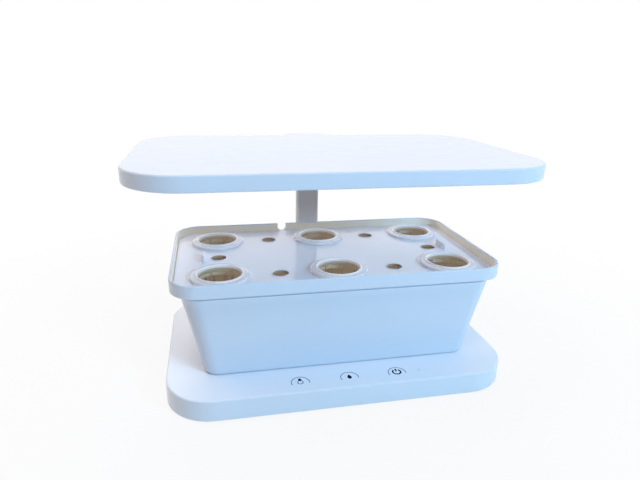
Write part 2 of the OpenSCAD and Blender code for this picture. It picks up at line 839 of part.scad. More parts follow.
// Ribs under the deck, clear of every hole
module deck_ribs() {
    rib_y = (pot_dy - sleeve_r + hole_r) / 2;
    for (side = [-1, 1]) {
        translate([-deck_size[0] / 2, tank_y + side * rib_y - rib_t / 2, ledge_z - rib_h])
            cube([deck_size[0], rib_t, rib_h]);
        for (x = [sleeve_r + sleeve_wall + 6, pot_dx - sleeve_r - sleeve_wall - 6])
            translate([side * x - rib_t / 2, tank_y - deck_size[1] / 2, ledge_z - rib_h])
                cube([rib_t, deck_size[1], rib_h]);
    }
}

// Upright tab with rounded upper corners
module finger_tab() {
    r = 2.5;
    rotate([90, 0, 90]) translate([0, 0, -tab_t / 2]) linear_extrude(tab_t) {
        translate([-tab_l / 2, -0.5]) square([tab_l, tab_h - r + 0.5]);
        translate([-tab_l / 2 + r, 0]) square([tab_l - 2 * r, tab_h]);
        for (side = [-1, 1]) translate([side * (tab_l / 2 - r), tab_h - r]) circle(r);
    }
}

// ---- Net pot ----

// Flange and collar over a tapered basket of ribs with one hoop
module pot(p) {
    low = -pot_deep;
    hoop_z = (low + pot_floor_t - neck_h - hoop_h) / 2;
    color("aliceblue", 0.7) translate([p[0], p[1], deck_top]) difference() {
        intersection() {
            rotate_extrude() polygon([
                [mouth_r, lip_h], [neck_r, lip_h], [neck_r, flange_h],
                [flange_r, flange_h], [flange_r, 0], [flange_r - flange_t, 0],
                [flange_r - flange_t, flange_h - flange_t], [neck_r, flange_h - flange_t],
                [neck_r, -neck_h], [pot_low_r, low], [0, low],
                [0, low + basket_wall], [pot_low_r - basket_wall, low + basket_wall],
                [mouth_r, -neck_h]]);
            union() {
                translate([0, 0, -neck_h]) cylinder(r = flange_r + 1, h = neck_h + lip_h + 1);
                translate([0, 0, hoop_z]) cylinder(r = flange_r, h = hoop_h);
                translate([0, 0, low - 1]) cylinder(r = flange_r, h = pot_floor_t + 1);
                for (i = [0:pot_ribs - 1]) rotate((i + 0.5) * 360 / pot_ribs)
                    translate([0, -pot_rib_w / 2, low]) cube([flange_r, pot_rib_w, pot_deep]);
            }
        }
        for (i = [0:3]) rotate(i * 90) translate([pot_slot_from, -pot_slot[1] / 2, low - 1])
            cube([pot_slot[0], pot_slot[1], pot_floor_t + 1]);
        translate([0, 0, low - 1]) cylinder(r = pot_drain_r, h = pot_floor_t + 1);
    }
}

base_housing();
base_bottom_plate();
rubber_feet();
base_screws();
touch_board();
status_light_pipe();
control_board();
board_screws();
power_inlet();
pump_motor();
drive_shaft();
drive_magnet();
mast_foot();
mast_outer_tube();
mast_collar();
mast_inner_tube();
mast_glide();
lamp_bracket();
bracket_screws();
lamp_housing();
lamp_bezel();
lamp_diffuser();
lamp_screws();
led_board();
led_chips();
led_board_screws();
tank();
pump_housing();
pump_cap();
pump_axle();
impeller();
impeller_magnet();
deck();
for (i = [1:POTS]) pot(pot_xy[i - 1]);
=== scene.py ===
"""Countertop hydroponic garden: its visible shells, finishes and studio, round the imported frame.

Lengths are millimetres in the frame's axes (+X right, -Y front, +Z up) until a mesh is made,
except in the studio, whose classes say where they are metres.
"""
import logging
import math
from dataclasses import dataclass, field
from enum import Enum
from functools import cache, cached_property

import bpy
import numpy as np
from mathutils import Matrix, Vector


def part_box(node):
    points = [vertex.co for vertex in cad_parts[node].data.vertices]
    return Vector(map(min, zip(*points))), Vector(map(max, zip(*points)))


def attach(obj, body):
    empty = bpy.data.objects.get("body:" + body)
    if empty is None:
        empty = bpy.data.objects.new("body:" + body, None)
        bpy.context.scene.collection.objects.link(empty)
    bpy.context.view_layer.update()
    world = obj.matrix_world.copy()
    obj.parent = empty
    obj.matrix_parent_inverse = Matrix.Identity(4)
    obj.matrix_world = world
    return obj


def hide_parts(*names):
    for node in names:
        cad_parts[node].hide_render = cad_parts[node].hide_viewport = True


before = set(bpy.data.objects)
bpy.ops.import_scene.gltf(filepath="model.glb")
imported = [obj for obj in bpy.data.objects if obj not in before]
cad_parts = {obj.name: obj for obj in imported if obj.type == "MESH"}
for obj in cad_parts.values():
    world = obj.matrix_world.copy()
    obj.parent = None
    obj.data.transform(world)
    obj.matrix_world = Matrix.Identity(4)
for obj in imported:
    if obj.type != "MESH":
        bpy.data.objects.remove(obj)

MM = 0.001
TUBE_EDGE = 0.25
SMOOTH_ANGLE = 32
CORNER_STEPS = 14
ROUGHNESS_SPREAD = (0.85, 1.15)
# Numbers of a piece's second and third finish.
SECOND, THIRD = 1, 2
LOG = logging.getLogger("garden")
Array = np.ndarray
Triple = tuple[float, float, float]
Colour = Triple
Point = tuple[float, float]
Piece = bpy.types.Object
Socket = bpy.types.NodeSocket
Sockets = tuple[tuple[str, object], ...]


# ---------------------------------------------------------------- surfaces


@dataclass(frozen=True)
class Bounds:
    """The lowest and highest corner of a frame node, in millimetres."""

    low: Array
    high: Array

    @classmethod
    def of(cls, node: str) -> "Bounds":
        """A node's bounds."""
        low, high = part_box(node)
        return cls(np.array(low) / MM, np.array(high) / MM)

    @property
    def centre(self) -> Array:
        """The middle."""
        return (self.low + self.high) / 2

    @property
    def half(self) -> Array:
        """Half the size."""
        return (self.high - self.low) / 2


def bounds_field(node: str) -> Bounds:
    """A dataclass field that holds a node's bounds, read when its unit is made."""
    return field(default_factory=lambda: Bounds.of(node))


def soften(path: Array, cuts: list[float], steps: int = 4, closed: bool = False) -> Array:
    """Rounds the corners of a path of stations.

    Each corner P becomes the arc of the rational quadratic curve from P + cut*a to P + cut*b,
    where a and b are the unit legs and the middle weight is the cosine of half the turn. Lengths
    are measured in the first and last columns, and the other columns follow.

    Args:
        path: stations, one per row.
        cuts: how far from each corner its arc starts, one per corner.
        steps: spans of each arc.
        closed: whether the path returns to its start, so that every station is a corner.
    Returns:
        The rounded stations.
    """
    points = np.asarray(path, float)
    if closed:
        points = np.vstack([points[-1:], points, points[:1]])
    corner = points[1:-1]
    legs = [points[:-2] - corner, points[2:] - corner]
    unit = [leg / np.hypot(leg[:, 0], leg[:, -1])[:, None] for leg in legs]
    cosine = -(unit[0][:, 0] * unit[1][:, 0] + unit[0][:, -1] * unit[1][:, -1])
    weight = np.sqrt((1 + cosine) / 2)[:, None, None]
    start, end = (corner + side * np.asarray(cuts, float)[:, None] for side in unit)
    t = np.linspace(0, 1, steps + 1)[None, :, None]
    ends, middle = (1 - t) ** 2, 2 * t * (1 - t) * weight
    arcs = ends * start[:, None] + middle * corner[:, None] + t ** 2 * end[:, None]
    arcs = (arcs / (ends + middle + t ** 2)).reshape(-1, points.shape[1])
    return arcs if closed else np.vstack([points[:1], arcs, points[-1:]])


def grid_faces(rows: int, columns: int, closed: bool = False) -> Array:
    """Quads of a grid whose rows close on themselves, numbered row by row.

    Args:
        rows: number of rows.
        columns: number of points in a row.
        closed: whether the last row joins the first.
    Returns:
        One row of four indices per quad.
    """
    row = np.arange(rows if closed else rows - 1)[:, None]
    column = np.arange(columns)[None, :]
    up, over = (row + 1) % rows * columns, (column + 1) % columns
    quads = [row * columns + column, row * columns + over, up + over, up + column]
    return np.stack(np.broadcast_arrays(*quads), -1).reshape(-1, 4)


@dataclass
class Shell:
    """A surface in millimetres: its points, its faces and each face's finish."""

    points: Array
    faces: list[list[int]]
    finish: Array

    @classmethod
    def plain(cls, points: Array, faces: list[list[int]]) -> "Shell":
        """A shell all in its first finish."""
        return cls(points.reshape(-1, 3), faces, np.zeros(len(faces), int))

    @classmethod
    def of_rings(cls, rings: Array, closed: bool = False) -> "Shell":
        """Skins a stack of rings that run anticlockwise seen from above.

        Point (i, j) of the grid is point j of ring i. Going up the stack the faces look outwards,
        and going down they look into the hollow. An open stack has a flat face at each end: the
        first looks down and the last looks up.

        Args:
            rings: array of ring, point and coordinate.
            closed: whether the last ring joins the first.
        Returns:
            The shell.
        """
        count, size = rings.shape[:2]
        faces = grid_faces(count, size, closed).tolist()
        if not closed:
            faces += [list(range(size))[::-1], list(range((count - 1) * size, count * size))]
        return cls.plain(rings, faces)

    @classmethod
    def joined(cls, shells: list["Shell"]) -> "Shell":
        """Puts several shells in one mesh.

        Args:
            shells: the shells.
        Returns:
            One shell, with their faces renumbered.
        """
        starts = np.cumsum([0] + [len(shell.points) for shell in shells[:-1]])
        faces = [[index + int(start) for index in face]
                 for shell, start in zip(shells, starts) for face in shell.faces]
        return cls(np.vstack([shell.points for shell in shells]), faces,
                   np.concatenate([shell.finish for shell in shells]))

    def moved(self, x: float = 0, y: float = 0, z: float = 0) -> "Shell":
        """The same shell somewhere else."""
        return Shell(self.points + np.array([x, y, z]), self.faces, self.finish)


def revolve(profile: Array, sides: int = 64, closed: bool = True) -> Shell:
    """Turns a profile about the vertical axis.

    A point at radius r and height z of the profile goes to (r cos a, r sin a, z) for each angle a.

    Args:
        profile: rows of radius and height, running up on the outside.
        sides: number of angles.
        closed: whether the profile is a loop, as a ring's is; an open one's ends are closed.
    Returns:
        The shell.
    """
    angle = np.linspace(0, 2 * np.pi, sides, endpoint=False)
    radius, height = profile[:, :1], profile[:, 1:]
    rings = [radius * np.cos(angle), radius * np.sin(angle), height + 0 * angle]
    return Shell.of_rings(np.stack(rings, -1), closed)


def cylinder(radius: float, low: float, high: float, sides: int) -> Shell:
    """An upright cylinder."""
    return revolve(np.array([[radius, low], [radius, high]]), sides, closed=False)


def arc_rings(arcs: Array, stations: Array, steps: int = 16) -> Array:
    """Plan outlines made of arcs joined by straight lines, running anticlockwise.

    An outline is drawn in by its station's inset: an arc's radius shrinks by the inset where it
    bulges and grows by it where it is hollow.

    Args:
        arcs: rows of x, y, radius, and first and last angle in degrees; clockwise is hollow.
        stations: rows of inset and height.
        steps: spans of each arc.
    Returns:
        Array of ring, point and coordinate.
    """
    x, y, radius, start, end = arcs.T
    turn = np.radians(np.linspace(start, end, steps + 1, axis=1))[None]
    inset, height = np.asarray(stations, float).T[:, :, None]
    reach = (radius - np.sign(end - start) * inset)[:, :, None]
    spots = [x[:, None] + reach * np.cos(turn), y[:, None] + reach * np.sin(turn)]
    level = np.broadcast_to(height[:, :, None], spots[0].shape)
    return np.stack([*spots, level], -1).reshape(len(stations), -1, 3)


def box_rings(stations: Array, steps: int = 10) -> Array:
    """Rounded rectangles about the vertical axis.

    A station's corner arcs have their centres at the half sizes less the radius, and turn a
    quarter each.

    Args:
        stations: rows of half width, half depth, corner radius and height.
        steps: spans of each corner's arc.
    Returns:
        Array of ring, point and coordinate.
    """
    half_x, half_y, radius, height = np.asarray(stations, float).T[:, :, None, None]
    side_x, side_y = np.array([[1, -1, -1, 1], [1, 1, -1, -1]])[:, None, :, None]
    turn = np.radians(np.arange(4)[:, None] * 90 + np.linspace(0, 90, steps + 1))[None]
    x = side_x * (half_x - radius) + radius * np.cos(turn)
    y = side_y * (half_y - radius) + radius * np.sin(turn)
    return np.stack([x, y, np.broadcast_to(height, x.shape)], -1).reshape(len(stations), -1, 3)


def block(half: Array, radius: float, low: float, high: float, cut: float = 0.3,
          wall: float = 0.0) -> Shell:
    """Upright block with rounded corners and slightly rounded edges, or a tube of that section.

    Args:
        half: half its width and depth.
        radius: its corner radius in plan.
        low: height of its underside.
        high: height of its top.
        cut: rounding of its edges.
        wall: thickness of a tube's wall; a block has none.
    Returns:
        The shell.
    """
    tube = wall > 0
    inset, least = (wall, 0.3) if tube else (2 * cut, 0.05)
    inner = [*(np.asarray(half) - inset), max(radius - inset, least)]
    path = [[*inner, low], [*half, radius, low], [*half, radius, high], [*inner, high]]
    stations = soften(np.array(path), [cut] * (4 if tube else 2), 2, closed=tube)
    return Shell.of_rings(box_rings(stations), closed=tube)


# ---------------------------------------------------------------- finishes


class Relief(Enum):
    """How a finish's fine relief is spread over the surface."""

    NOISE = "noise"
    PITS = "pits"
    LINES = "lines"


class NodeSheet:
    """The nodes of a material or of the surroundings, and what is added to them."""

    def __init__(self, owner: bpy.types.Material | bpy.types.World) -> None:
        """Starts with the owner's own shader and output.

        Args:
            owner: the material or world.
        """
        owner.use_nodes = True
        self.tree = owner.node_tree
        kinds = {node.type: node for node in self.tree.nodes}
        self.shader = kinds.get("BSDF_PRINCIPLED") or kinds["BACKGROUND"]
        self.output = kinds.get("OUTPUT_MATERIAL") or kinds["OUTPUT_WORLD"]

    @cached_property
    def coordinates(self) -> Socket:
        """Object coordinates."""
        return self.add("TexCoord").outputs["Object"]

    def set(self, *sockets: tuple[str, object]) -> None:
        """Gives the shader's own sockets constants."""
        for name, value in sockets:
            self.shader.inputs[name].default_value = value

    def add(self, kind: str, links: dict | None = None, **values: object) -> bpy.types.Node:
        """Adds a node.

        Args:
            kind: the node's Blender type, without ShaderNode.
            links: sockets by input name or number, joined to these inputs.
            values: node properties, or input values by name with _ for a space.
        Returns:
            The node.
        """
        node = self.tree.nodes.new("ShaderNode" + kind)
        for key, value in values.items():
            if key in node.bl_rna.properties:
                setattr(node, key, value)
            else:
                node.inputs[key.replace("_", " ")].default_value = value
        for key, socket in (links or {}).items():
            self.tree.links.new(socket, node.inputs[key])
        return node

    def pattern(self, kind: str, size: float, **values: object) -> bpy.types.Node:
        """A texture on object coordinates whose features have a size in millimetres."""
        return self.add(kind, {"Vector": self.coordinates}, Scale=1 / (size * MM), **values)

    def noise(self, size: float, detail: float = 2.0, stretch: tuple = (1, 1, 1)) -> Socket:
        """Noise with features of a size.

        Args:
            size: rough size of a feature in millimetres.
            detail: octaves of finer noise.
            stretch: how much each axis is pressed together.
        Returns:
            The noise's value socket.
        """
        place = self.add("Mapping", {"Vector": self.coordinates}, Scale=stretch).outputs[0]
        noise = self.add("TexNoise", {"Vector": place}, Scale=1 / (size * MM), Detail=detail)
        return noise.outputs[0]

    def remap(self, noise: Socket, low: float, high: float) -> Socket:
        """Maps a noise's usual range, 0.3 to 0.7, to a low and a high bound."""
        bounds = {"From_Min": 0.3, "From_Max": 0.7, "To_Min": low, "To_Max": high}
        return self.add("MapRange", {"Value": noise}, **bounds).outputs[0]

    def mix(self, factor: Socket, first: Colour | Socket, second: Colour) -> Socket:
        """Mixes two colours.

        Args:
            factor: share of the second colour.
            first: colour at 0, or its socket.
            second: colour at 1.
        Returns:
            The colour's socket.
        """
        node = self.add("Mix", {0: factor}, data_type="RGBA")
        if isinstance(first, tuple):
            node.inputs[6].default_value = (*first, 1)
        else:
            self.tree.links.new(first, node.inputs[6])
        node.inputs[7].default_value = (*second, 1)
        return node.outputs[2]

    def join(self, socket: Socket, name: str) -> None:
        """Joins a socket to one of the shader's."""
        self.tree.links.new(socket, self.shader.inputs[name])

    def seen(self) -> Socket:
        """A socket that is 1 on rays from the camera, from gloss and through clear parts.

        Returns:
            The socket.
        """
        rays = self.add("LightPath").outputs
        socket = rays["Is Camera Ray"]
        for name in ("Is Glossy Ray", "Is Transmission Ray"):
            socket = self.add("Math", {0: socket, 1: rays[name]}, operation="MAXIMUM").outputs[0]
        return socket

    def show_mix(self, factor: Socket, second: Socket) -> None:
        """Shows the owner's shader where the factor is 0, and a second one where it is 1."""
        mix = self.add("MixShader", {0: factor, 1: self.shader.outputs[0], 2: second})
        self.tree.links.new(mix.outputs[0], self.output.inputs["Surface"])


@dataclass(frozen=True)
class Finish:
    """A moulded, coated or ground surface: its colour with faint clouding, and a fine relief."""

    name: str
    colour: Colour
    roughness: float
    clouding: float = 0.008
    cloud_size: float = 45.0
    relief: Relief = Relief.NOISE
    relief_size: float = 3.0
    relief_depth: float = 0.003
    sockets: Sockets = ()

    @cache
    def material(self) -> bpy.types.Material:
        """The finish's material, whose nodes are laid out on first use.

        Returns:
            The material.
        """
        material = bpy.data.materials.new(self.name)
        sheet = NodeSheet(material)
        sheet.set(("Roughness", self.roughness), *self.sockets)
        clouds = sheet.remap(sheet.noise(self.cloud_size), 0, 1)
        light, dark = (tuple(c * (1 + sign * self.clouding) for c in self.colour)
                       for sign in (1, -1))
        sheet.join(self.painted(sheet, sheet.mix(clouds, dark, light)), "Base Color")
        smears = sheet.noise(self.cloud_size / 3, 3)
        bounds = (self.roughness * share for share in ROUGHNESS_SPREAD)
        sheet.join(sheet.remap(smears, *bounds), "Roughness")
        bump = sheet.add("Bump", {"Height": self.height(sheet)},
                         Distance=self.relief_depth * MM, Strength=1.0)
        sheet.join(bump.outputs[0], "Normal")
        return material

    def height(self, sheet: NodeSheet) -> Socket:
        """The relief's height.

        Args:
            sheet: the material's nodes.
        Returns:
            A socket between 0 and 1.
        """
        if self.relief is Relief.PITS:
            return sheet.pattern("TexVoronoi", self.relief_size).outputs["Distance"]
        if self.relief is Relief.LINES:
            return sheet.noise(self.relief_size, 2, (1, 1, 0.02))
        return sheet.noise(self.relief_size, 1)

    def painted(self, sheet: NodeSheet, base: Socket) -> Socket:
        """The colour with whatever is printed on it; plain finishes have nothing."""
        return base


@dataclass(frozen=True)
class Board(Finish):
    """Solder mask over copper tracks."""

    track: Colour = (0.10, 0.36, 0.18)
    pitch: float = 2.54

    def painted(self, sheet: NodeSheet, base: Socket) -> Socket:
        """Tracks as the thin joints of a brick pattern."""
        bricks = sheet.pattern("TexBrick", self.pitch, Mortar_Size=0.06, Brick_Width=4.0,
                               Row_Height=1.0)
        return sheet.mix(bricks.outputs["Fac"], base, self.track)


@dataclass(frozen=True)
class Prisms(Finish):
    """Opal sheet with a fine grid of prisms that spreads the light."""

    pitch: float = 4.0

    def height(self, sheet: NodeSheet) -> Socket:
        """The prisms' height: the smaller of two crossed triangle waves.

        Args:
            sheet: the material's nodes.
        Returns:
            A socket between 0 and 1.
        """
        waves = [sheet.pattern("TexWave", 10 * self.pitch / math.pi, wave_profile="TRI",
                               bands_direction=axis).outputs["Fac"] for axis in ("X", "Y")]
        return sheet.add("Math", {0: waves[0], 1: waves[1]}, operation="MINIMUM").outputs[0]


def glow(colour: Colour, strength: float) -> Sockets:
    """A weak painted glow, as of light that comes through thin plastic."""
    return ("Emission Color", (*colour, 1)), ("Emission Strength", strength)


def clear(share: float, bend: float = 1.45) -> Sockets:
    """A clear plastic: the share that lets light through, and how much it bends it."""
    return ("Transmission Weight", share), ("IOR", bend)


def shine(level: float) -> Sockets:
    """A coat's specular level, where it isn't the usual one."""
    return (("Specular IOR Level", level),)


METAL: Sockets = (("Metallic", 1.0),)
MOULDED = {"clouding": 0.005, "relief_size": 12, "relief_depth": 0.0006}
NET = {"clouding": 0.02, "cloud_size": 9, "relief_size": 4}
# Tint of the pots' painted glow.
PAINTED_GLOW_TINT = (0.95, 0.92, 0.98)
GLOSS_WHITE = Finish("gloss_white", (0.785, 0.84, 0.93), 0.2, **MOULDED)
# Painted light: a lighter copy of the white plastic, brightened for the base's top, which lies in
# the lamp's shade.
BASE_WHITE_PAINTED_LIGHT = Finish("base_white_painted_light", (0.85, 0.90, 0.97), 0.22, **MOULDED)
# Painted light: a lighter copy of the white plastic, brightened to make up for the lamp's shade
# over the deck; its gloss is its own.
DECK_WHITE_PAINTED_LIGHT = Finish("deck_white_painted_light", (0.92, 0.90, 0.965), 0.08, relief_size=14, relief_depth=0.002)
# Painted shade: the white tank's dim inside painted brown, with a warm painted glow; the deck's
# bores and the pots' mouths take it too.
PAINTED_TANK_SHADE = Finish("tank_inside_painted_shade", (0.50, 0.42, 0.32), 0.5, clouding=0.06, relief_size=1.2,
                     sockets=glow((0.84, 0.67, 0.47), 0.13))
# Painted shade: the white rim band's inner face painted warm beige, with a warm painted glow.
PAINTED_RIM_SHADE = Finish("rim_inside_painted_shade", (0.82, 0.77, 0.70), 0.35, clouding=0.01, relief_size=3,
                    sockets=glow((1.0, 0.82, 0.48), 0.125) + shine(0.25))
# Painted shade: brown on the small holes' bores, for the dim tank seen through them.
PAINTED_HOLE_SHADE = Finish("hole_throat_painted_shade", (0.62, 0.43, 0.28), 0.5, clouding=0.05, cloud_size=4,
                relief_size=0.8)
SATIN_WHITE = Finish("satin_white", (0.80, 0.83, 0.88), 0.38, relief=Relief.PITS, relief_size=0.7,
                     relief_depth=0.008)
SATIN_GREY = Finish("satin_grey", (0.115, 0.125, 0.14), 0.45, relief=Relief.PITS, relief_size=0.8,
                    relief_depth=0.008)
MAST_GREY = Finish("mast_grey", (0.605, 0.595, 0.58), 0.4, clouding=0.03, relief=Relief.PITS,
                   relief_size=0.45, relief_depth=0.006, sockets=(("Metallic", 0.15), *shine(0.15)))
RUBBER = Finish("rubber_dark", (0.035, 0.035, 0.038), 0.8, clouding=0.1, relief_size=0.6,
                relief_depth=0.02)
STEEL = Finish("zinc_steel", (0.62, 0.63, 0.64), 0.3, clouding=0.05, cloud_size=3,
               relief=Relief.LINES, relief_size=0.15, sockets=METAL)
MOTOR_STEEL = Finish("drawn_steel", (0.5, 0.5, 0.51), 0.28, relief=Relief.LINES, relief_size=0.2,
                     relief_depth=0.002, sockets=METAL)
FERRITE = Finish("ferrite", (0.05, 0.05, 0.055), 0.55, clouding=0.15, cloud_size=1.5,
                 relief=Relief.PITS, relief_size=0.3, relief_depth=0.01)
BLACK = Finish("socket_black", (0.02, 0.02, 0.021), 0.4, relief=Relief.PITS, relief_size=0.5,
               relief_depth=0.006)
CERAMIC = Finish("ceramic_white", (0.85, 0.84, 0.80), 0.12, cloud_size=4, relief_size=0.5,
                 relief_depth=0.001)
IMPELLER_BLUE = Finish("impeller_blue", (0.05, 0.13, 0.30), 0.25, relief_size=2)
LED_PANEL = Finish("led_panel", (0.85, 0.85, 0.84), 0.45, clouding=0.01, relief_size=0.8)
PHOSPHOR = Finish("phosphor", (0.85, 0.62, 0.12), 0.3, clouding=0.08, cloud_size=2,
                  relief_size=0.4)
OPAL = Prisms("opal_sheet", (0.86, 0.88, 0.91), 0.45, relief_depth=0.25,
              sockets=clear(0.35, 1.49))
SOLDER_MASK = Board("solder_mask", (0.02, 0.20, 0.09), 0.25, clouding=0.04, cloud_size=10,
                    relief_size=0.6)
# Painted light: a glow on the clear pot plastic stands in for light through its thin walls.
POT_CLEAR = Finish("pot_clear", (0.95, 0.93, 0.96), 0.14, sockets=clear(0.2) + glow(PAINTED_GLOW_TINT, 0.11),
                   **NET)
# A darker copy of the pot plastic, with a weaker painted glow, so that the flange looks greyer.
FLANGE_CLEAR = Finish("flange_clear", (0.93, 0.92, 0.97), 0.14,
                      sockets=clear(0.35) + glow(PAINTED_GLOW_TINT, 0.045), **NET)
BASKET_CLEAR = Finish("basket_clear", (0.93, 0.90, 0.86), 0.12,
                      sockets=clear(0.94, 1.3) + shine(0.2), **NET)
LIGHT_PIPE = Finish("light_pipe", (0.78, 0.85, 0.93), 0.08, cloud_size=2, relief_size=1,
                    sockets=clear(0.1))
INK_DARK = Finish("ink_dark", (0.004, 0.006, 0.020), 0.6, clouding=0.05, cloud_size=2,
                  relief_size=0.4, sockets=shine(0.1))
INK_GREY = Finish("ink_grey", (0.17, 0.22, 0.35), 0.6, clouding=0.03, cloud_size=2,
                  relief_size=0.4, sockets=shine(0.1))

NODE_FINISHES: dict[Finish, tuple[str, ...]] = {
    SATIN_WHITE: ("base_bottom_plate", "lamp_bezel", "pump_housing", "pump_cap"),
    SATIN_GREY: ("mast_foot", "mast_glide", "lamp_bracket"),
    STEEL: ("base_screws", "board_screws", "bracket_screws", "lamp_screws", "led_board_screws"),
    SOLDER_MASK: ("touch_board", "control_board"), LIGHT_PIPE: ("status_light_pipe",),
    BLACK: ("power_inlet",), MOTOR_STEEL: ("pump_motor", "drive_shaft"),
    FERRITE: ("drive_magnet", "impeller_magnet"), OPAL: ("lamp_diffuser",),
    LED_PANEL: ("led_board",), PHOSPHOR: ("led_chips",), CERAMIC: ("pump_axle",),
    IMPELLER_BLUE: ("impeller",)}


# ---------------------------------------------------------------- pieces


def new_object(name: str, shell: Shell, *finishes: Finish) -> Piece:
    """Puts a shell in the scene, in metres.

    Args:
        name: the object's name.
        shell: its surface.
        finishes: its finishes, in the order of its faces' numbers.
    Returns:
        The object, which settle shades.
    """
    mesh = bpy.data.meshes.new(name)
    mesh.from_pydata((shell.points * MM).tolist(), [], shell.faces)
    for finish in finishes:
        mesh.materials.append(finish.material())
    mesh.polygons.foreach_set("material_index", shell.finish.astype(np.int32))
    piece = bpy.data.objects.new(name, mesh)
    bpy.context.scene.collection.objects.link(piece)
    return piece


def carve(piece: Piece, tool: Shell, *finishes: Finish) -> None:
    """Cuts a shell out of a piece.

    Args:
        piece: the piece, whose mesh is replaced.
        tool: what is taken away; its parts don't touch each other.
        finishes: the piece's finishes again, where the cut faces take one by the tool's numbers.
    """
    cutter = new_object(piece.name + "_cutter", tool, *finishes)
    cut = piece.modifiers.new("cut", "BOOLEAN")
    cut.operation, cut.solver, cut.object = "DIFFERENCE", "EXACT", cutter
    shape = piece.evaluated_get(bpy.context.evaluated_depsgraph_get())
    mesh = bpy.data.meshes.new_from_object(shape)
    piece.modifiers.clear()
    piece.data = mesh
    bpy.data.objects.remove(cutter)


def settle(piece: Piece, body: str, slot: str, *nodes: str) -> None:
    """Shades a piece, smooth except at sharp edges, and ties it to the frame.

    Args:
        piece: the piece.
        body: the body that it rides on.
        slot: the record's slot that its finish belongs to; it is not used.
        nodes: the frame's nodes that it stands for.
    """
    mesh = piece.data
    mesh.shade_smooth()
    mesh.set_sharp_from_angle(angle=math.radians(SMOOTH_ANGLE))
    piece.modifiers.new("flat faces stay flat", "WEIGHTED_NORMAL").keep_sharp = True
    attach(piece, body)
    if nodes:
        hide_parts(*nodes)
    LOG.info("%s rides on %s with %d faces", piece.name, body, len(mesh.polygons))


@dataclass(frozen=True)
class Slab:
    """A flat slab with rounded corners, and the tongue behind it that meets the mast."""

    bounds: Bounds
    depth: float
    radius: float
    tongue_width: float = 52.0
    tongue_radius: float = 8.0
    slope: float = 19.5
    root_radius: float = 3.5
    ceiling: float = 1.5
    spans: int = 5

    def arcs(self) -> Array:
        """The plan outline's arcs, anticlockwise from the left front corner.

        The tongue's side leans out by the slope angle t. A root fillet of radius f touches the
        rear line and that side, so its centre lies f behind the line, and f beyond the side along
        the side's normal (cos t, sin t).

        Returns:
            Rows of x, y, radius, and first and last angle.
        """
        low, high = self.bounds.low, self.bounds.high
        x, front = (high[0] - low[0]) / 2 - self.radius, low[1] + self.radius
        rear = low[1] + self.depth - self.radius
        end_x = self.tongue_width / 2 - self.tongue_radius
        end_y = high[1] - self.tongue_radius
        lean = math.radians(self.slope)
        root_y = low[1] + self.depth + self.root_radius
        across = self.tongue_radius + self.root_radius
        root_x = end_x + (across - (root_y - end_y) * math.sin(lean)) / math.cos(lean)
        plain, root, tongue = self.radius, self.root_radius, self.tongue_radius
        return np.array([
            [-x, front, plain, 180, 270], [x, front, plain, 270, 360], [x, rear, plain, 0, 90],
            [root_x, root_y, root, 270, 180 + self.slope], [end_x, end_y, tongue, self.slope, 90],
            [-end_x, end_y, tongue, 90, 180 - self.slope],
            [-root_x, root_y, root, -self.slope, -90], [-x, rear, plain, 90, 180]])

    def casing(self, wall: float, edge: float) -> Shell:
        """A casing open below, its edges rounded.

        The stations run from the ceiling down the inside, round the lower edge, up the outside
        and over the upper edge to the top.

        Args:
            wall: thickness of its walls.
            edge: rounding of its outer edges.
        Returns:
            The shell.
        """
        low, high = self.bounds.low[2], self.bounds.high[2]
        path = [[wall + self.ceiling, high - wall], [wall, high - wall], [wall, low], [0, low],
                [0, high], [edge + 1.0, high]]
        stations = soften(np.array(path), [0.6, 0.3, min(edge, wall - 0.6), edge], self.spans)
        return Shell.of_rings(arc_rings(self.arcs(), stations))


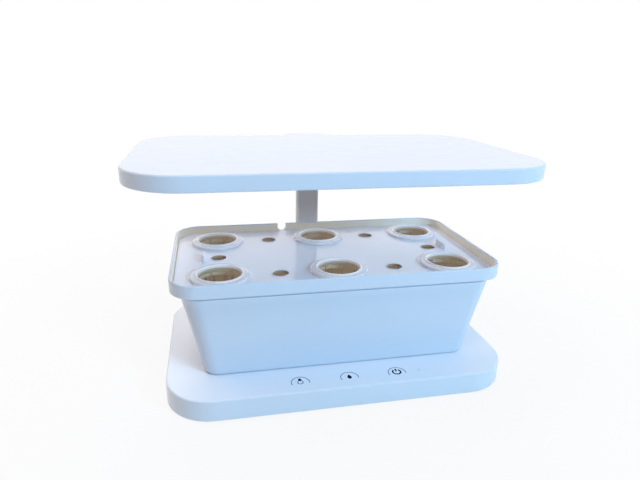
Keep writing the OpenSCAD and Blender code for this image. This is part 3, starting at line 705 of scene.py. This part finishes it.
@dataclass
class BaseUnit:
    """The base: its casing and its feet."""

    depth: float = 214.0
    corner_radius: float = 44.0
    wall: float = 2.5
    edge: float = 1.6
    mast_gap: float = 0.3
    mast_corner: float = 3.3
    pipe_radius: float = 1.25
    nose_radius: float = 4.1
    nose_reach: float = 5.0
    margin: float = 2.0
    foot_radius: float = 8.0
    foot_edge: float = 0.9
    foot_dimple: float = 0.35
    dimple_edge: Point = (2.6, 2.0)
    bounds: Bounds = bounds_field("base_housing")

    def build(self) -> None:
        """Makes the casing and the feet."""
        self.casing()
        self.feet()

    def casing(self) -> None:
        """The casing with the openings for the mast, the light pipe and the inlet."""
        shell = Slab(self.bounds, self.depth, self.corner_radius).casing(self.wall, self.edge)
        # The casing takes the brightened copy of the white plastic, which paints light on it.
        piece = new_object("base_casing", shell, BASE_WHITE_PAINTED_LIGHT)
        carve(piece, Shell.joined([*self.roof_openings(), self.inlet_opening()]))
        settle(piece, "base", "white_gloss", "base_housing")

    def roof_openings(self) -> list[Shell]:
        """A prism round the mast and a cylinder for the light pipe, both through the roof.

        Returns:
            The two shells.
        """
        mast, pipe = Bounds.of("mast_outer_tube"), Bounds.of("status_light_pipe").centre
        top = self.bounds.high[2]
        roof = top - self.wall - self.margin, top + self.margin
        prism = block(mast.half[:2] + self.mast_gap, self.mast_corner, *roof)
        return [prism.moved(y=mast.centre[1]),
                cylinder(self.pipe_radius, *roof, 24).moved(pipe[0], pipe[1])]

    def inlet_opening(self) -> Shell:
        """Cylinder through the rear wall for the inlet's nose, turned from upright to lie along Y.

        Returns:
            The shell.
        """
        prism = cylinder(self.nose_radius, -self.nose_reach, self.nose_reach, 40)
        prism.points = prism.points @ np.array([[1, 0, 0], [0, 0, 1], [0, -1, 0]])
        inlet = Bounds.of("power_inlet").centre
        return prism.moved(inlet[0], self.bounds.low[1] + self.depth - self.wall / 2, inlet[2])

    def feet(self) -> None:
        """Four rubber feet with a rounded lower edge and a shallow dimple."""
        box, radius, dimple = Bounds.of("rubber_feet"), self.foot_radius, self.foot_dimple
        top = box.high[2]
        inner, outer = (radius - width for width in self.dimple_edge)
        path = np.array([[1.0, dimple], [inner, dimple], [outer, 0.0], [radius, 0.0],
                         [radius, top], [radius - 1, top]])
        foot = revolve(soften(path, [0.4, 0.4, self.foot_edge, 0.2]), 48, closed=False)
        near, far = box.low + radius, box.high - radius
        feet = [foot.moved(x, y) for x in (near[0], far[0]) for y in (near[1], far[1])]
        piece = new_object("base_feet", Shell.joined(feet), RUBBER)
        settle(piece, "base", "rubber_grey", "rubber_feet")


class Symbol(Enum):
    """The touch keys' symbols, from left to right."""

    LAMP = -1
    WATER = 0
    POWER = 1


@dataclass
class TouchKeys:
    """Symbols printed on the base's top in front of the tank."""

    front_inset: float = 16.4
    pitch: float = 46.6
    shift: float = 2.3
    ring_radius: float = 8.4
    ring_width: float = 0.8
    ring_forward: float = 1.2
    ring_ends: Point = (-12, 200)
    ink: float = 0.06
    stroke: float = 1.6
    open_ends: Point = (-235, 55)
    power_radius: float = 3.8
    power_bar: Point = (1.0, 5.0)
    bulb_radius: float = 2.5
    bulb_stroke: float = 0.9
    bulb_bars: tuple[Triple, ...] = ((1.0, 4.0, 3.2), (3.9, 5.0, 1.8))
    drop_swell: float = 3.1
    drop_length: float = 7.2

    def stroke_shell(self, spine: Array, width: float | Array) -> Shell:
        """A flat printed stroke along a spine.

        The stroke's sides lie half the width to each side of the spine, along the normal to its
        direction, and the ink stands a little over the surface.

        Args:
            spine: points of the middle line.
            width: width of the stroke, or one at each point.
        Returns:
            The shell, with its underside on height 0.
        """
        ahead = np.gradient(spine, axis=0)
        normal = np.stack([-ahead[:, 1], ahead[:, 0]], -1)
        normal /= np.linalg.norm(ahead, axis=1)[:, None]
        reach = normal * np.broadcast_to(np.asarray(width, float) / 2, len(spine))[:, None]
        level = np.zeros((len(spine), 1))
        rows = [np.hstack([spine + side * reach, level + height]) for side, height in
                ((-1, 0), (-1, self.ink), (1, self.ink), (1, 0))]
        faces = grid_faces(len(spine), 4)[:, ::-1].tolist()
        last = 4 * len(spine) - 1
        return Shell.plain(np.stack(rows, 1), faces + [[0, 1, 2, 3], [last - i for i in range(4)]])

    def arc(self, radius: float, ends: Point, width: float) -> Shell:
        """A printed arc about the origin, between two angles in degrees."""
        turn = np.radians(np.linspace(*ends, 49))
        return self.stroke_shell(radius * np.stack([np.cos(turn), np.sin(turn)], -1), width)

    def bar(self, low: float, high: float, width: float) -> Shell:
        """A printed straight stroke away from the front, between two distances."""
        return self.stroke_shell(np.stack([np.zeros(3), np.linspace(low, high, 3)], -1), width)

    def drop(self) -> Shell:
        """A filled water drop.

        Its half width at the share s of its length from the tip is the swell times
        sin(pi s)^0.8 (0.25 + 0.75 s), which grows towards the round end.

        Returns:
            The shell.
        """
        share = np.linspace(0.001, 0.999, 24)
        half = self.drop_swell * np.sin(np.pi * share) ** 0.8 * (0.25 + 0.75 * share)
        spine = np.stack([0 * share, self.drop_length * (0.5 - share)], -1)
        return self.stroke_shell(spine, 2 * half)

    def dark_parts(self, symbol: Symbol) -> list[Shell]:
        """The symbol's dark strokes about the origin.

        Args:
            symbol: which symbol.
        Returns:
            The strokes.
        """
        if symbol is Symbol.WATER:
            return [self.drop()]
        if symbol is Symbol.POWER:
            ring = self.arc(self.power_radius, self.open_ends, self.stroke)
            return [ring, self.bar(*self.power_bar, self.stroke)]
        return [self.bar(*bar) for bar in self.bulb_bars]

    def grey_parts(self, symbol: Symbol) -> list[Shell]:
        """The thin ring round a symbol, and the lamp symbol's glass.

        Args:
            symbol: which symbol.
        Returns:
            The strokes.
        """
        parts = [self.arc(self.ring_radius, self.ring_ends, self.ring_width)]
        if symbol is Symbol.LAMP:
            parts.append(self.arc(self.bulb_radius, self.open_ends, self.bulb_stroke))
        return [part.moved(y=-self.ring_forward) for part in parts]

    def build(self, base: BaseUnit) -> None:
        """Prints the keys.

        Args:
            base: the base that carries them.
        """
        y, z = base.bounds.low[1] + self.front_inset, base.bounds.high[2]
        for colour, finish, slot, parts in (
                ("dark", INK_DARK, "socket_black", self.dark_parts),
                ("grey", INK_GREY, "grey_plastic", self.grey_parts)):
            shells = [part.moved(symbol.value * self.pitch + self.shift, y, z)
                      for symbol in Symbol for part in parts(symbol)]
            settle(new_object(f"key_print_{colour}", Shell.joined(shells), finish), "base", slot)


@dataclass
class MastUnit:
    """The telescoping mast: outer tube, inner tube and collar."""

    wall: float = 1.5
    radius: float = 3.0
    collar_wall: float = 2.0
    collar_lip: float = 2.5
    collar_edge: float = 0.8
    lip_gap: float = 0.05

    def build(self) -> None:
        """Makes the tubes and the collar."""
        for name, body, radius in (("outer", "base", self.radius),
                                   ("inner", "lamp", self.radius - self.wall)):
            node = f"mast_{name}_tube"
            box = Bounds.of(node)
            shell = block(box.half[:2], radius, box.low[2], box.high[2], TUBE_EDGE, self.wall)
            piece = new_object(f"mast_{name}", shell.moved(y=box.centre[1]), MAST_GREY)
            settle(piece, body, "mast_grey", node)
        self.collar()

    def collar(self) -> None:
        """A cap whose wall hugs the outer tube and whose lip guides the inner one."""
        box = Bounds.of("mast_collar")
        outer = [*box.half[:2], self.radius + self.collar_wall]
        bore = [*(box.half[:2] - self.collar_wall), self.radius]
        lip = [*(Bounds.of("mast_inner_tube").half[:2] + self.lip_gap), self.radius - self.wall]
        foot, top = box.low[2], box.high[2]
        seat = top - self.collar_lip
        path = np.array([[*bore, foot], [*outer, foot], [*outer, top], [*lip, top], [*lip, seat],
                         [*bore, seat]])
        rings = box_rings(soften(path, [0.2, 0.4, self.collar_edge, 0.3, 0.2, 0.2], 3, closed=True))
        shell = Shell.of_rings(rings, closed=True).moved(y=box.centre[1])
        settle(new_object("collar", shell, SATIN_GREY), "base", "grey_plastic", "mast_collar")


@dataclass
class LampUnit:
    """The lamp's casing; its bezel, sheet and light board are the frame's own."""

    depth: float = 233.0
    corner_radius: float = 53.0
    wall: float = 2.2
    edge: float = 1.6
    bounds: Bounds = bounds_field("lamp_housing")

    def build(self) -> None:
        """Makes the casing."""
        shell = Slab(self.bounds, self.depth, self.corner_radius).casing(self.wall, self.edge)
        settle(new_object("lamp_casing", shell, GLOSS_WHITE), "lamp", "white_gloss", "lamp_housing")


@dataclass
class TankUnit:
    """The tapered tank with its overhanging rim band and the seat of its pump."""

    rim_radius: float = 26.0
    rim_height: float = 12.4
    rim_wall: float = 2.5
    overhang: Point = (8.0, 5.0)
    taper: Point = (18.5, 12.0)
    wall: float = 2.5
    top_radius: float = 20.0
    low_radius: float = 14.0
    ledge: float = 2.4
    shadow_gap: Point = (1.3, 3.5)
    floor_edge: float = 3.0
    notch_width: float = 9.6
    notch_height: float = 8.5
    notch_x: float = -36.3
    pump_radius: float = 15.7
    pump_wall: float = 1.6
    pump_seat: Point = (24.5, 27.0)
    boss: tuple[Point, ...] = ((3.0, 27.8), (2.7, 28.0))
    spans: int = 5
    bounds: Bounds = bounds_field("tank")

    def rings(self) -> Array:
        """The tank's section, from its underside up the outside, over the rim and down the inside.

        The tub is drawn in just under the rim band, which leaves a shadow line there.

        Returns:
            Array of ring, point and coordinate.
        """
        foot, top = self.bounds.low[2], self.bounds.high[2]
        rim_z = top - self.rim_height
        ledge_z, floor_z = rim_z + self.ledge, foot + self.wall
        rim = self.bounds.half[:2]
        tub = rim - np.array(self.overhang)
        floor = tub - np.array(self.taper)
        inset, drop = self.shadow_gap
        neck = tub - np.array(self.taper) * drop / (rim_z - foot)
        top_r, low_r, wall, step = self.top_radius, self.low_radius, self.wall, 2 * self.floor_edge
        band = [*(rim - self.rim_wall), self.rim_radius - self.rim_wall]
        path = [[*(floor - step), low_r - step, foot], [*floor, low_r, foot],
                [*neck, top_r, rim_z - drop], [*(neck - inset), top_r - inset, rim_z - drop],
                [*(tub - inset), top_r - inset, rim_z], [*rim, self.rim_radius, rim_z],
                [*rim, self.rim_radius, top], [*band, top], [*band, ledge_z],
                [*(tub - wall), top_r - wall, ledge_z], [*(floor - wall), low_r - wall, floor_z],
                [*(floor - wall - step), low_r - wall - step, floor_z]]
        cuts = [self.floor_edge, 0.3, 0.2, 0.4, 0.9, 1.1, 0.9, 0.4, 0.8, self.floor_edge]
        return box_rings(soften(np.array(path), cuts, self.spans), CORNER_STEPS)

    def notch(self) -> Shell:
        """Prism of the U notch: a half circle below straight sides, along Y through the rear band.

        Returns:
            The shell.
        """
        radius, rear, top = self.notch_width / 2, self.bounds.high[1], self.bounds.high[2]
        turn = np.radians(np.linspace(180, 360, 25))
        x, z = radius * np.cos(turn), top - self.notch_height + radius * (1 + np.sin(turn))
        x, z = np.append(x, [radius, -radius]), np.append(z, [top + 2, top + 2])
        ends = [np.stack([x + self.notch_x, 0 * x + y, z], -1)
                for y in (rear + 1, rear - self.rim_wall - 1)]
        return Shell.of_rings(np.stack(ends))

    def build(self) -> None:
        """Makes the tank with its notch and the pump's seat."""
        rings = self.rings()
        body = Shell.of_rings(rings)
        arc = self.spans + 1
        band, ledge = (int(np.argmax(rings[:, 0, 2])) + corners * arc for corners in (1, 2))
        columns = rings.shape[1]
        # The rim band's inner face takes the warm painted shade.
        body.finish[band * columns:ledge * columns] = THIRD
        # Inside the tub, below the ledge, the faces take the painted shade of the tank's dim
        # inside.
        body.finish[ledge * columns:] = SECOND
        # The last face but one is the underside.
        body.finish[-2] = 0
        low, high = self.pump_seat
        inner, outer = self.pump_radius, self.pump_radius + self.pump_wall
        loop = np.array([[inner, low], [outer, low], [outer, high], [inner, high]])
        seat = revolve(soften(loop, [0.2] * 4, 2, closed=True))
        boss = revolve(np.array([(self.boss[0][0], low), *self.boss]), 32, closed=False)
        # The pump's seat and boss take the same painted shade.
        seat.finish[:] = boss.finish[:] = SECOND
        shell = Shell.joined([body, seat, boss]).moved(y=self.bounds.centre[1])
        piece = new_object("tank_shell", shell, GLOSS_WHITE, PAINTED_TANK_SHADE, PAINTED_RIM_SHADE)
        carve(piece, self.notch())
        settle(piece, "tank", "white_gloss", "tank")


@dataclass
class DeckUnit:
    """The planting deck: its plate with round openings, lips, finger tabs, skirt and ribs.

    The walls of the pots' bores are painted with the tank's dim shade, and those of the small holes
    with a lighter painted shade.
    """

    thickness: float = 2.0
    top: float = 112.5
    radius: float = 22.7
    edge: float = 0.7
    sleeve_radius: float = 22.6
    sleeve_wall: float = 1.8
    sleeve_depth: float = 5.0
    sleeve_sides: int = 72
    hole_radius: float = 7.5
    hole_sides: int = 48
    lip_width: float = 1.2
    lip_height: float = 0.6
    lip_root: float = 0.2
    tab_margin: float = 26.0
    tab_length: float = 22.0
    tab_height: float = 6.0
    tab_thickness: float = 2.6
    tab_corner: float = 2.5
    tab_flare: float = 1.0
    skirt_inset: float = 10.5
    skirt_wall: float = 1.6
    skirt_depth: float = 4.0
    skirt_round: float = 6.0
    rib_depth: float = 5.0
    rib_half: float = 0.8
    rib_end: float = 1.0
    rib_clear: float = 6.0
    overlap: float = 0.3
    bounds: Bounds = bounds_field("deck")

    @property
    def seat(self) -> float:
        """Height of the plate's underside."""
        return self.top - self.thickness

    def pot_places(self) -> Array:
        """The pots' axes, front row first."""
        return np.array([Bounds.of(f"pot_{number}").centre[:2] for number in range(1, 7)])

    def hole_places(self) -> list[Point]:
        """The small holes' axes: between each row's pots, and between the rows at both ends.

        Returns:
            Rows of x and y.
        """
        pots = self.pot_places()
        end, front, rear = pots[:, 0].max(), pots[:, 1].min(), pots[:, 1].max()
        return [(x, y) for x in (-end / 2, end / 2) for y in (front, rear)] + \
            [(x, (front + rear) / 2) for x in (-end, end)]

    def rings(self) -> list[Shell]:
        """The raised rings that line the small holes, and the collars that guide the pots' necks.

        Each is turned from a rectangle with rounded corners, and its last faces are its bore, in
        a finish of painted shade.

        Returns:
            The shells in their places.
        """
        shells = []
        for bore, wall, low, high, cuts, steps, sides, finish, places in (
                (self.hole_radius, self.lip_width, self.seat - self.lip_root,
                 self.top + self.lip_height, [0.1, 0.1, 0.45, 0.5], 4, self.hole_sides, SECOND,
                 self.hole_places()),
                (self.sleeve_radius, self.sleeve_wall, self.seat - self.sleeve_depth,
                 self.seat + self.overlap, [0.4, 0.4, 0.1, 0.1], 3, self.sleeve_sides, THIRD,
                 self.pot_places())):
            path = np.array([[bore, low], [bore + wall, low], [bore + wall, high], [bore, high]])
            ring = revolve(soften(path, cuts, steps, closed=True), sides)
            ring.finish[-sides:] = finish
            shells += [ring.moved(*place) for place in places]
        return shells

    def tab(self) -> Shell:
        """Finger tab: flared at its root, its upper corners a quarter circle, its crest rounded.

        Returns:
            The shell.
        """
        half_x, half_y = self.tab_thickness / 2, self.tab_length / 2
        flare, corner, crest = self.tab_flare, self.tab_corner, self.top + self.tab_height
        turn = np.radians(np.linspace(0, 90, 7))
        rise, fall = 1 - np.cos(turn), 1 - np.sin(turn)
        foot = self.top - self.overlap
        root = [half_x + flare * fall, half_y + flare * fall, foot + flare * rise]
        ends = [half_x - 0.5 * rise ** 2, half_y - corner * rise, crest - corner * fall]
        rows = np.vstack([np.stack(root, -1), np.stack(ends, -1)])
        stations = np.insert(rows, 2, np.minimum(rows[:, 0] * 0.9, 1.1), axis=1)
        return Shell.of_rings(box_rings(stations, steps=5))

    def underside(self, half: Array) -> list[Shell]:
        """The skirt that centres the deck in the tub, and the stiffening ribs.

        Args:
            half: half the plate's width and depth.
        Returns:
            The shells about the deck's middle.
        """
        high, skirt = self.seat + self.overlap, half - self.skirt_inset
        loop = block(skirt, self.radius - self.skirt_round, self.seat - self.skirt_depth, high,
                     TUBE_EDGE, self.skirt_wall)
        pots = self.pot_places()
        pitch_y = pots[:, 1].max() - pots[:, 1].min()
        rib_y = (pitch_y / 2 - self.sleeve_radius + self.hole_radius) / 2
        edge = self.sleeve_radius + self.sleeve_wall + self.rib_clear
        long_x, long_y = skirt - self.rib_end
        ribs = [((long_x, self.rib_half), 0, y) for y in (-rib_y, rib_y)]
        ribs += [((self.rib_half, long_y), side * x, 0) for side in (-1, 1)
                 for x in (edge, pots[:, 0].max() - edge)]
        return [loop] + [block(size, 0.3, self.seat - self.rib_depth, high, 0.2).moved(x, y)
                         for size, x, y in ribs]

    def build(self) -> None:
        """Makes the deck."""
        half, centre_y = self.bounds.half[:2], self.bounds.centre[1]
        rim, inner = [*half, self.radius], [*(half - 2), self.radius - 2]
        path = np.array([[*inner, self.seat], [*rim, self.seat], [*rim, self.top],
                         [*inner, self.top]])
        plate = Shell.of_rings(box_rings(soften(path, [0.5, self.edge]), CORNER_STEPS))
        piece = new_object("planting_deck", plate.moved(y=centre_y), DECK_WHITE_PAINTED_LIGHT, PAINTED_TANK_SHADE)
        hole = self.hole_radius + self.lip_width / 2
        tool = Shell.joined([
            cylinder(radius, self.seat - 3, self.top + 3, self.sleeve_sides).moved(*place)
            for radius, places in ((self.sleeve_radius, self.pot_places()),
                                   (hole, self.hole_places())) for place in places])
        # The cut walls of the plate's holes take the painted shade of the tank's dim inside.
        tool.finish[:] = SECOND
        carve(piece, tool, DECK_WHITE_PAINTED_LIGHT, PAINTED_TANK_SHADE)
        tab_x = half[0] - self.tab_margin
        added = self.rings() + [self.tab().moved(x, centre_y) for x in (-tab_x, tab_x)]
        added += [part.moved(y=centre_y) for part in self.underside(half)]
        fittings = new_object("deck_fittings", Shell.joined(added), DECK_WHITE_PAINTED_LIGHT, PAINTED_HOLE_SHADE,
                              PAINTED_TANK_SHADE)
        settle(piece, "deck", "white_gloss", "deck")
        settle(fittings, "deck", "white_gloss")


@dataclass
class NetPot:
    """A net pot: a flanged collar over an open basket of ribs and hoops."""

    number: int
    mouth: float = 20.0
    neck: float = 22.2
    flange: float = 27.5
    flange_height: float = 3.0
    flange_wall: float = 1.4
    lip_height: float = 4.2
    neck_depth: float = 0.3
    # Height on the mouth's inner wall below which the wall is painted shade.
    painted_shade_top: float = 1.3
    band_depth: float = 2.5
    seat_gap: float = 0.05
    sides: int = 96
    depth: float = 55.5
    low_radius: float = 15.5
    draw: float = 0.35
    basket_top: float = 0.2
    wall: float = 1.5
    ribs: int = 8
    rib_width: float = 2.0
    least_radius: float = 8.0
    hoop: float = 1.6
    floor_band: float = 3.0
    floor_radii: Triple = (11.5, 4.5, 2.2)
    spans: int = 6
    edge: float = 0.25

    def collar(self) -> Shell:
        """The turned-down flange, the raised lip and the neck, turned from one closed profile.

        Returns:
            The shell, with the flange in its second finish, a darker copy of the clear plastic, and
            the mouth's lower inner wall in its third, a painted shade.
        """
        mouth, neck, flange, deep = self.mouth, self.neck, self.flange, -self.neck_depth
        under, rim = self.flange_height - self.flange_wall, self.flange - self.flange_wall
        path = np.array([[mouth, deep], [neck, deep], [neck, under], [rim, under],
                         [rim, self.seat_gap], [flange, self.seat_gap],
                         [flange, self.flange_height], [neck, self.flange_height],
                         [neck, self.lip_height], [mouth, self.lip_height],
                         [mouth, self.painted_shade_top]])
        cuts = [0.2, 0.2, 0.5, 0.5, 0.3, 0.3, 1.0, 0.5, 0.6, 1.0, 0.1]
        spans = 5
        shell = revolve(soften(path, cuts, spans, closed=True), self.sides)
        row = np.repeat(np.arange(len(cuts) * (spans + 1)), self.sides)
        under_row, root_row, painted_shade_row = (corner * (spans + 1) for corner in (2, 7, 10))
        # The flange takes the darker copy of the clear plastic, with less painted glow.
        shell.finish[(row >= under_row) & (row < root_row + spans // 2)] = SECOND
        # The mouth's inner wall below the painted shade top, and its lowest corner, are painted the
        # tank's dim shade.
        shell.finish[(row >= painted_shade_row) | (row < spans)] = THIRD
        return shell

    def basket(self) -> Shell:
        """The middle surface of the basket's wall and floor, as one grid with openings.

        Row i has radius r and height z, going down the wall and in over the floor. In each pitch
        the columns lie at the edges of a rib, whose half angle is asin(rib width / 2r), and
        evenly between them.

        Returns:
            The shell.
        """
        floor_z = -self.depth + self.wall / 2
        top, band = -self.band_depth, -self.depth + self.floor_band
        middle = (band + top - self.hoop) / 2
        taper = (self.neck - self.draw - self.low_radius) / (self.depth - self.band_depth)
        heights = np.array([self.basket_top, top, middle + self.hoop, middle, band, floor_z])
        radii = self.low_radius - self.wall / 2 + taper * (heights + self.depth)
        radii[0] = radii[1]
        radius = np.append(radii, self.floor_radii)[:, None]
        height = np.append(heights, [floor_z] * len(self.floor_radii))[:, None]
        pitch = 2 * np.pi / self.ribs
        half = np.arcsin(self.rib_width / 2 / np.maximum(radius, self.least_radius))
        share = np.linspace(0, 1, self.spans)
        within = np.hstack([-half, half + (pitch - 2 * half) * share[:-1]])
        turn = (np.arange(self.ribs)[None, :, None] + 0.5) * pitch + within[:, None, :]
        turn = turn.reshape(len(radius), -1)
        points = [radius * np.cos(turn), radius * np.sin(turn), height + 0 * turn]
        rows, columns = turn.shape
        quads = grid_faces(rows, columns)[:, ::-1].reshape(rows - 1, columns, 4)
        column = np.arange(columns)
        opened = np.zeros((rows - 1, columns), bool)
        opened[[1, 3]] = column % self.spans > 0
        opened[6] = (column // self.spans % 2 == 0) & np.isin(column % self.spans, (2, 3))
        return Shell.plain(np.stack(points, -1), quads[~opened].tolist())

    def build(self) -> None:
        """Makes the collar, and the basket, whose surface is thickened and its edges rounded."""
        node = f"pot_{self.number}"
        box = Bounds.of(node)
        place = (*box.centre[:2], box.high[2] - self.lip_height)
        collar = new_object(f"pot_collar_{self.number}", self.collar().moved(*place), POT_CLEAR,
                            FLANGE_CLEAR, PAINTED_TANK_SHADE)
        settle(collar, node, "pot_clear", node)
        basket = new_object(f"basket_{self.number}", self.basket().moved(*place), BASKET_CLEAR)
        wall = basket.modifiers.new("wall", "SOLIDIFY")
        wall.thickness, wall.offset, wall.use_even_offset = self.wall * MM, 0, True
        edge = basket.modifiers.new("edges", "BEVEL")
        edge.width, edge.segments, edge.limit_method = self.edge * MM, 2, "ANGLE"
        edge.angle_limit = math.radians(50)
        settle(basket, node, "pot_clear")


# ---------------------------------------------------------------- studio


@dataclass(frozen=True)
class Panel:
    """A soft rectangular light that looks at the object; its lengths are metres."""

    name: str
    at: Triple
    size: Point
    power: float
    colour: Colour
    towards: Triple = (0.0, 0.0, 0.1)

    def build(self) -> None:
        """Hangs the light."""
        light = bpy.data.lights.new(self.name, "AREA")
        light.shape, light.energy, light.color = "RECTANGLE", self.power, self.colour
        light.size, light.size_y = self.size
        lamp = bpy.data.objects.new(self.name, light)
        lamp.location = self.at
        aim = Vector(self.towards) - Vector(self.at)
        lamp.rotation_euler = aim.to_track_quat("-Z", "Y").to_euler()
        lamp.visible_glossy = False
        bpy.context.scene.collection.objects.link(lamp)


@dataclass
class Studio:
    """Pale floor, white surroundings, soft panels and the camera.

    The eye is in millimetres, and the floor's size and the reach of its glow are in metres.
    """

    lens: float = 29.19
    sensor: float = 36.0
    yaw: float = 0.213
    pitch: float = 0.321
    roll: float = 0.021
    eye: Triple = (-116.06, -513.48, 296.32)
    floor_size: float = 12.0
    floor_grey: Colour = (0.78, 0.78, 0.78)
    floor_glow: Point = (0.87, 1.0)
    glow_reach: Point = (0.2, 0.6)
    ambient: Colour = (0.92, 0.95, 1.0)
    ambient_strength: float = 0.05
    panels: tuple[Panel, ...] = (
        Panel("rear_high_panel", (0.0, 1.6, 1.3), (1.4, 1.2), 13.5, (1.0, 0.98, 1.0)),
        Panel("rear_low_panel", (-0.3, 1.9, 0.62), (1.6, 0.5), 13.5, (1.0, 0.99, 1.0)),
        Panel("rear_right_panel", (1.5, 1.1, 0.5), (1.2, 0.8), 10.5, (1.0, 0.95, 1.0)),
        Panel("front_top_panel", (-0.05, -0.85, 2.2), (0.9, 0.5), 13.5, (0.89, 0.87, 0.94)),
        Panel("left_top_panel", (-0.95, 0.1, 1.9), (0.7, 0.8), 13.8, (1.0, 0.86, 0.77)),
        Panel("front_right_panel", (1.0, -1.4, 0.9), (0.5, 0.4), 22.8, (0.35, 0.69, 0.98)))

    def build(self) -> None:
        """Sets the scene."""
        bpy.context.scene.view_settings.view_transform = "Standard"
        self.world()
        self.floor()
        for panel in self.panels:
            panel.build()
        self.camera()

    def world(self) -> None:
        """Surroundings that look white and light the object softly."""
        world = bpy.data.worlds.new("surroundings")
        bpy.context.scene.world = world
        sheet = NodeSheet(world)
        sheet.set(("Color", (*self.ambient, 1)), ("Strength", self.ambient_strength))
        sheet.show_mix(sheet.seen(), sheet.add("Background", Color=(1, 1, 1, 1)).outputs[0])

    def floor(self) -> None:
        """A pale floor that keeps a light shadow and turns to plain white further out."""
        half = self.floor_size / 2
        spots = [(-half, -half, 0), (half, -half, 0), (half, half, 0), (-half, half, 0)]
        mesh = bpy.data.meshes.new("floor")
        mesh.from_pydata(spots, [], [(0, 1, 2, 3)])
        floor = bpy.data.objects.new("floor", mesh)
        bpy.context.scene.collection.objects.link(floor)
        material = bpy.data.materials.new("floor_white")
        sheet = NodeSheet(material)
        sheet.set(("Base Color", (*self.floor_grey, 1)), ("Roughness", 1.0), *shine(0.0))
        away = sheet.add("VectorMath", {0: sheet.coordinates}, operation="LENGTH")
        near, far = self.glow_reach
        low, high = self.floor_glow
        fade = sheet.add("MapRange", {"Value": away.outputs["Value"]}, From_Min=near, From_Max=far,
                         To_Min=low, To_Max=high)
        share = sheet.add("Math", {0: sheet.seen(), 1: fade.outputs[0]}, operation="MULTIPLY")
        sheet.show_mix(share.outputs[0], sheet.add("Emission").outputs[0])
        mesh.materials.append(material)

    def camera(self) -> None:
        """Places the camera.

        The view runs along (sin yaw cos pitch, cos yaw cos pitch, -sin pitch), and the picture is
        turned about it by the roll.
        """
        across, along = math.sin(self.yaw), math.cos(self.yaw)
        level = Vector((along, -across, 0))
        forward = Vector((across * math.cos(self.pitch), along * math.cos(self.pitch),
                          -math.sin(self.pitch)))
        upright = level.cross(forward)
        right = level * math.cos(self.roll) + upright * math.sin(self.roll)
        up = upright * math.cos(self.roll) - level * math.sin(self.roll)
        data = bpy.data.cameras.new("camera")
        data.lens, data.sensor_width, data.clip_start = self.lens, self.sensor, 0.01
        camera = bpy.data.objects.new("camera", data)
        turn = Matrix((right, up, -forward)).transposed().to_4x4()
        camera.matrix_world = Matrix.Translation(Vector(self.eye) * MM) @ turn
        bpy.context.scene.collection.objects.link(camera)
        bpy.context.scene.camera = camera


def dress_frame() -> None:
    """Gives every visible frame node its finish."""
    for finish, nodes in NODE_FINISHES.items():
        for node in nodes:
            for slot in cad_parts[node].material_slots:
                slot.material = finish.material()
            LOG.info("%s keeps its frame mesh in %s", node, finish.name)


def main() -> None:
    """Builds the garden and its studio."""
    logging.basicConfig(level=logging.INFO, format="%(message)s")
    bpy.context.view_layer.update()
    base = BaseUnit()
    base.build()
    TouchKeys().build(base)
    for unit in (MastUnit(), LampUnit(), TankUnit(), DeckUnit(), *map(NetPot, range(1, 7))):
        unit.build()
    dress_frame()
    Studio().build()


if __name__ == "__main__":
    main()
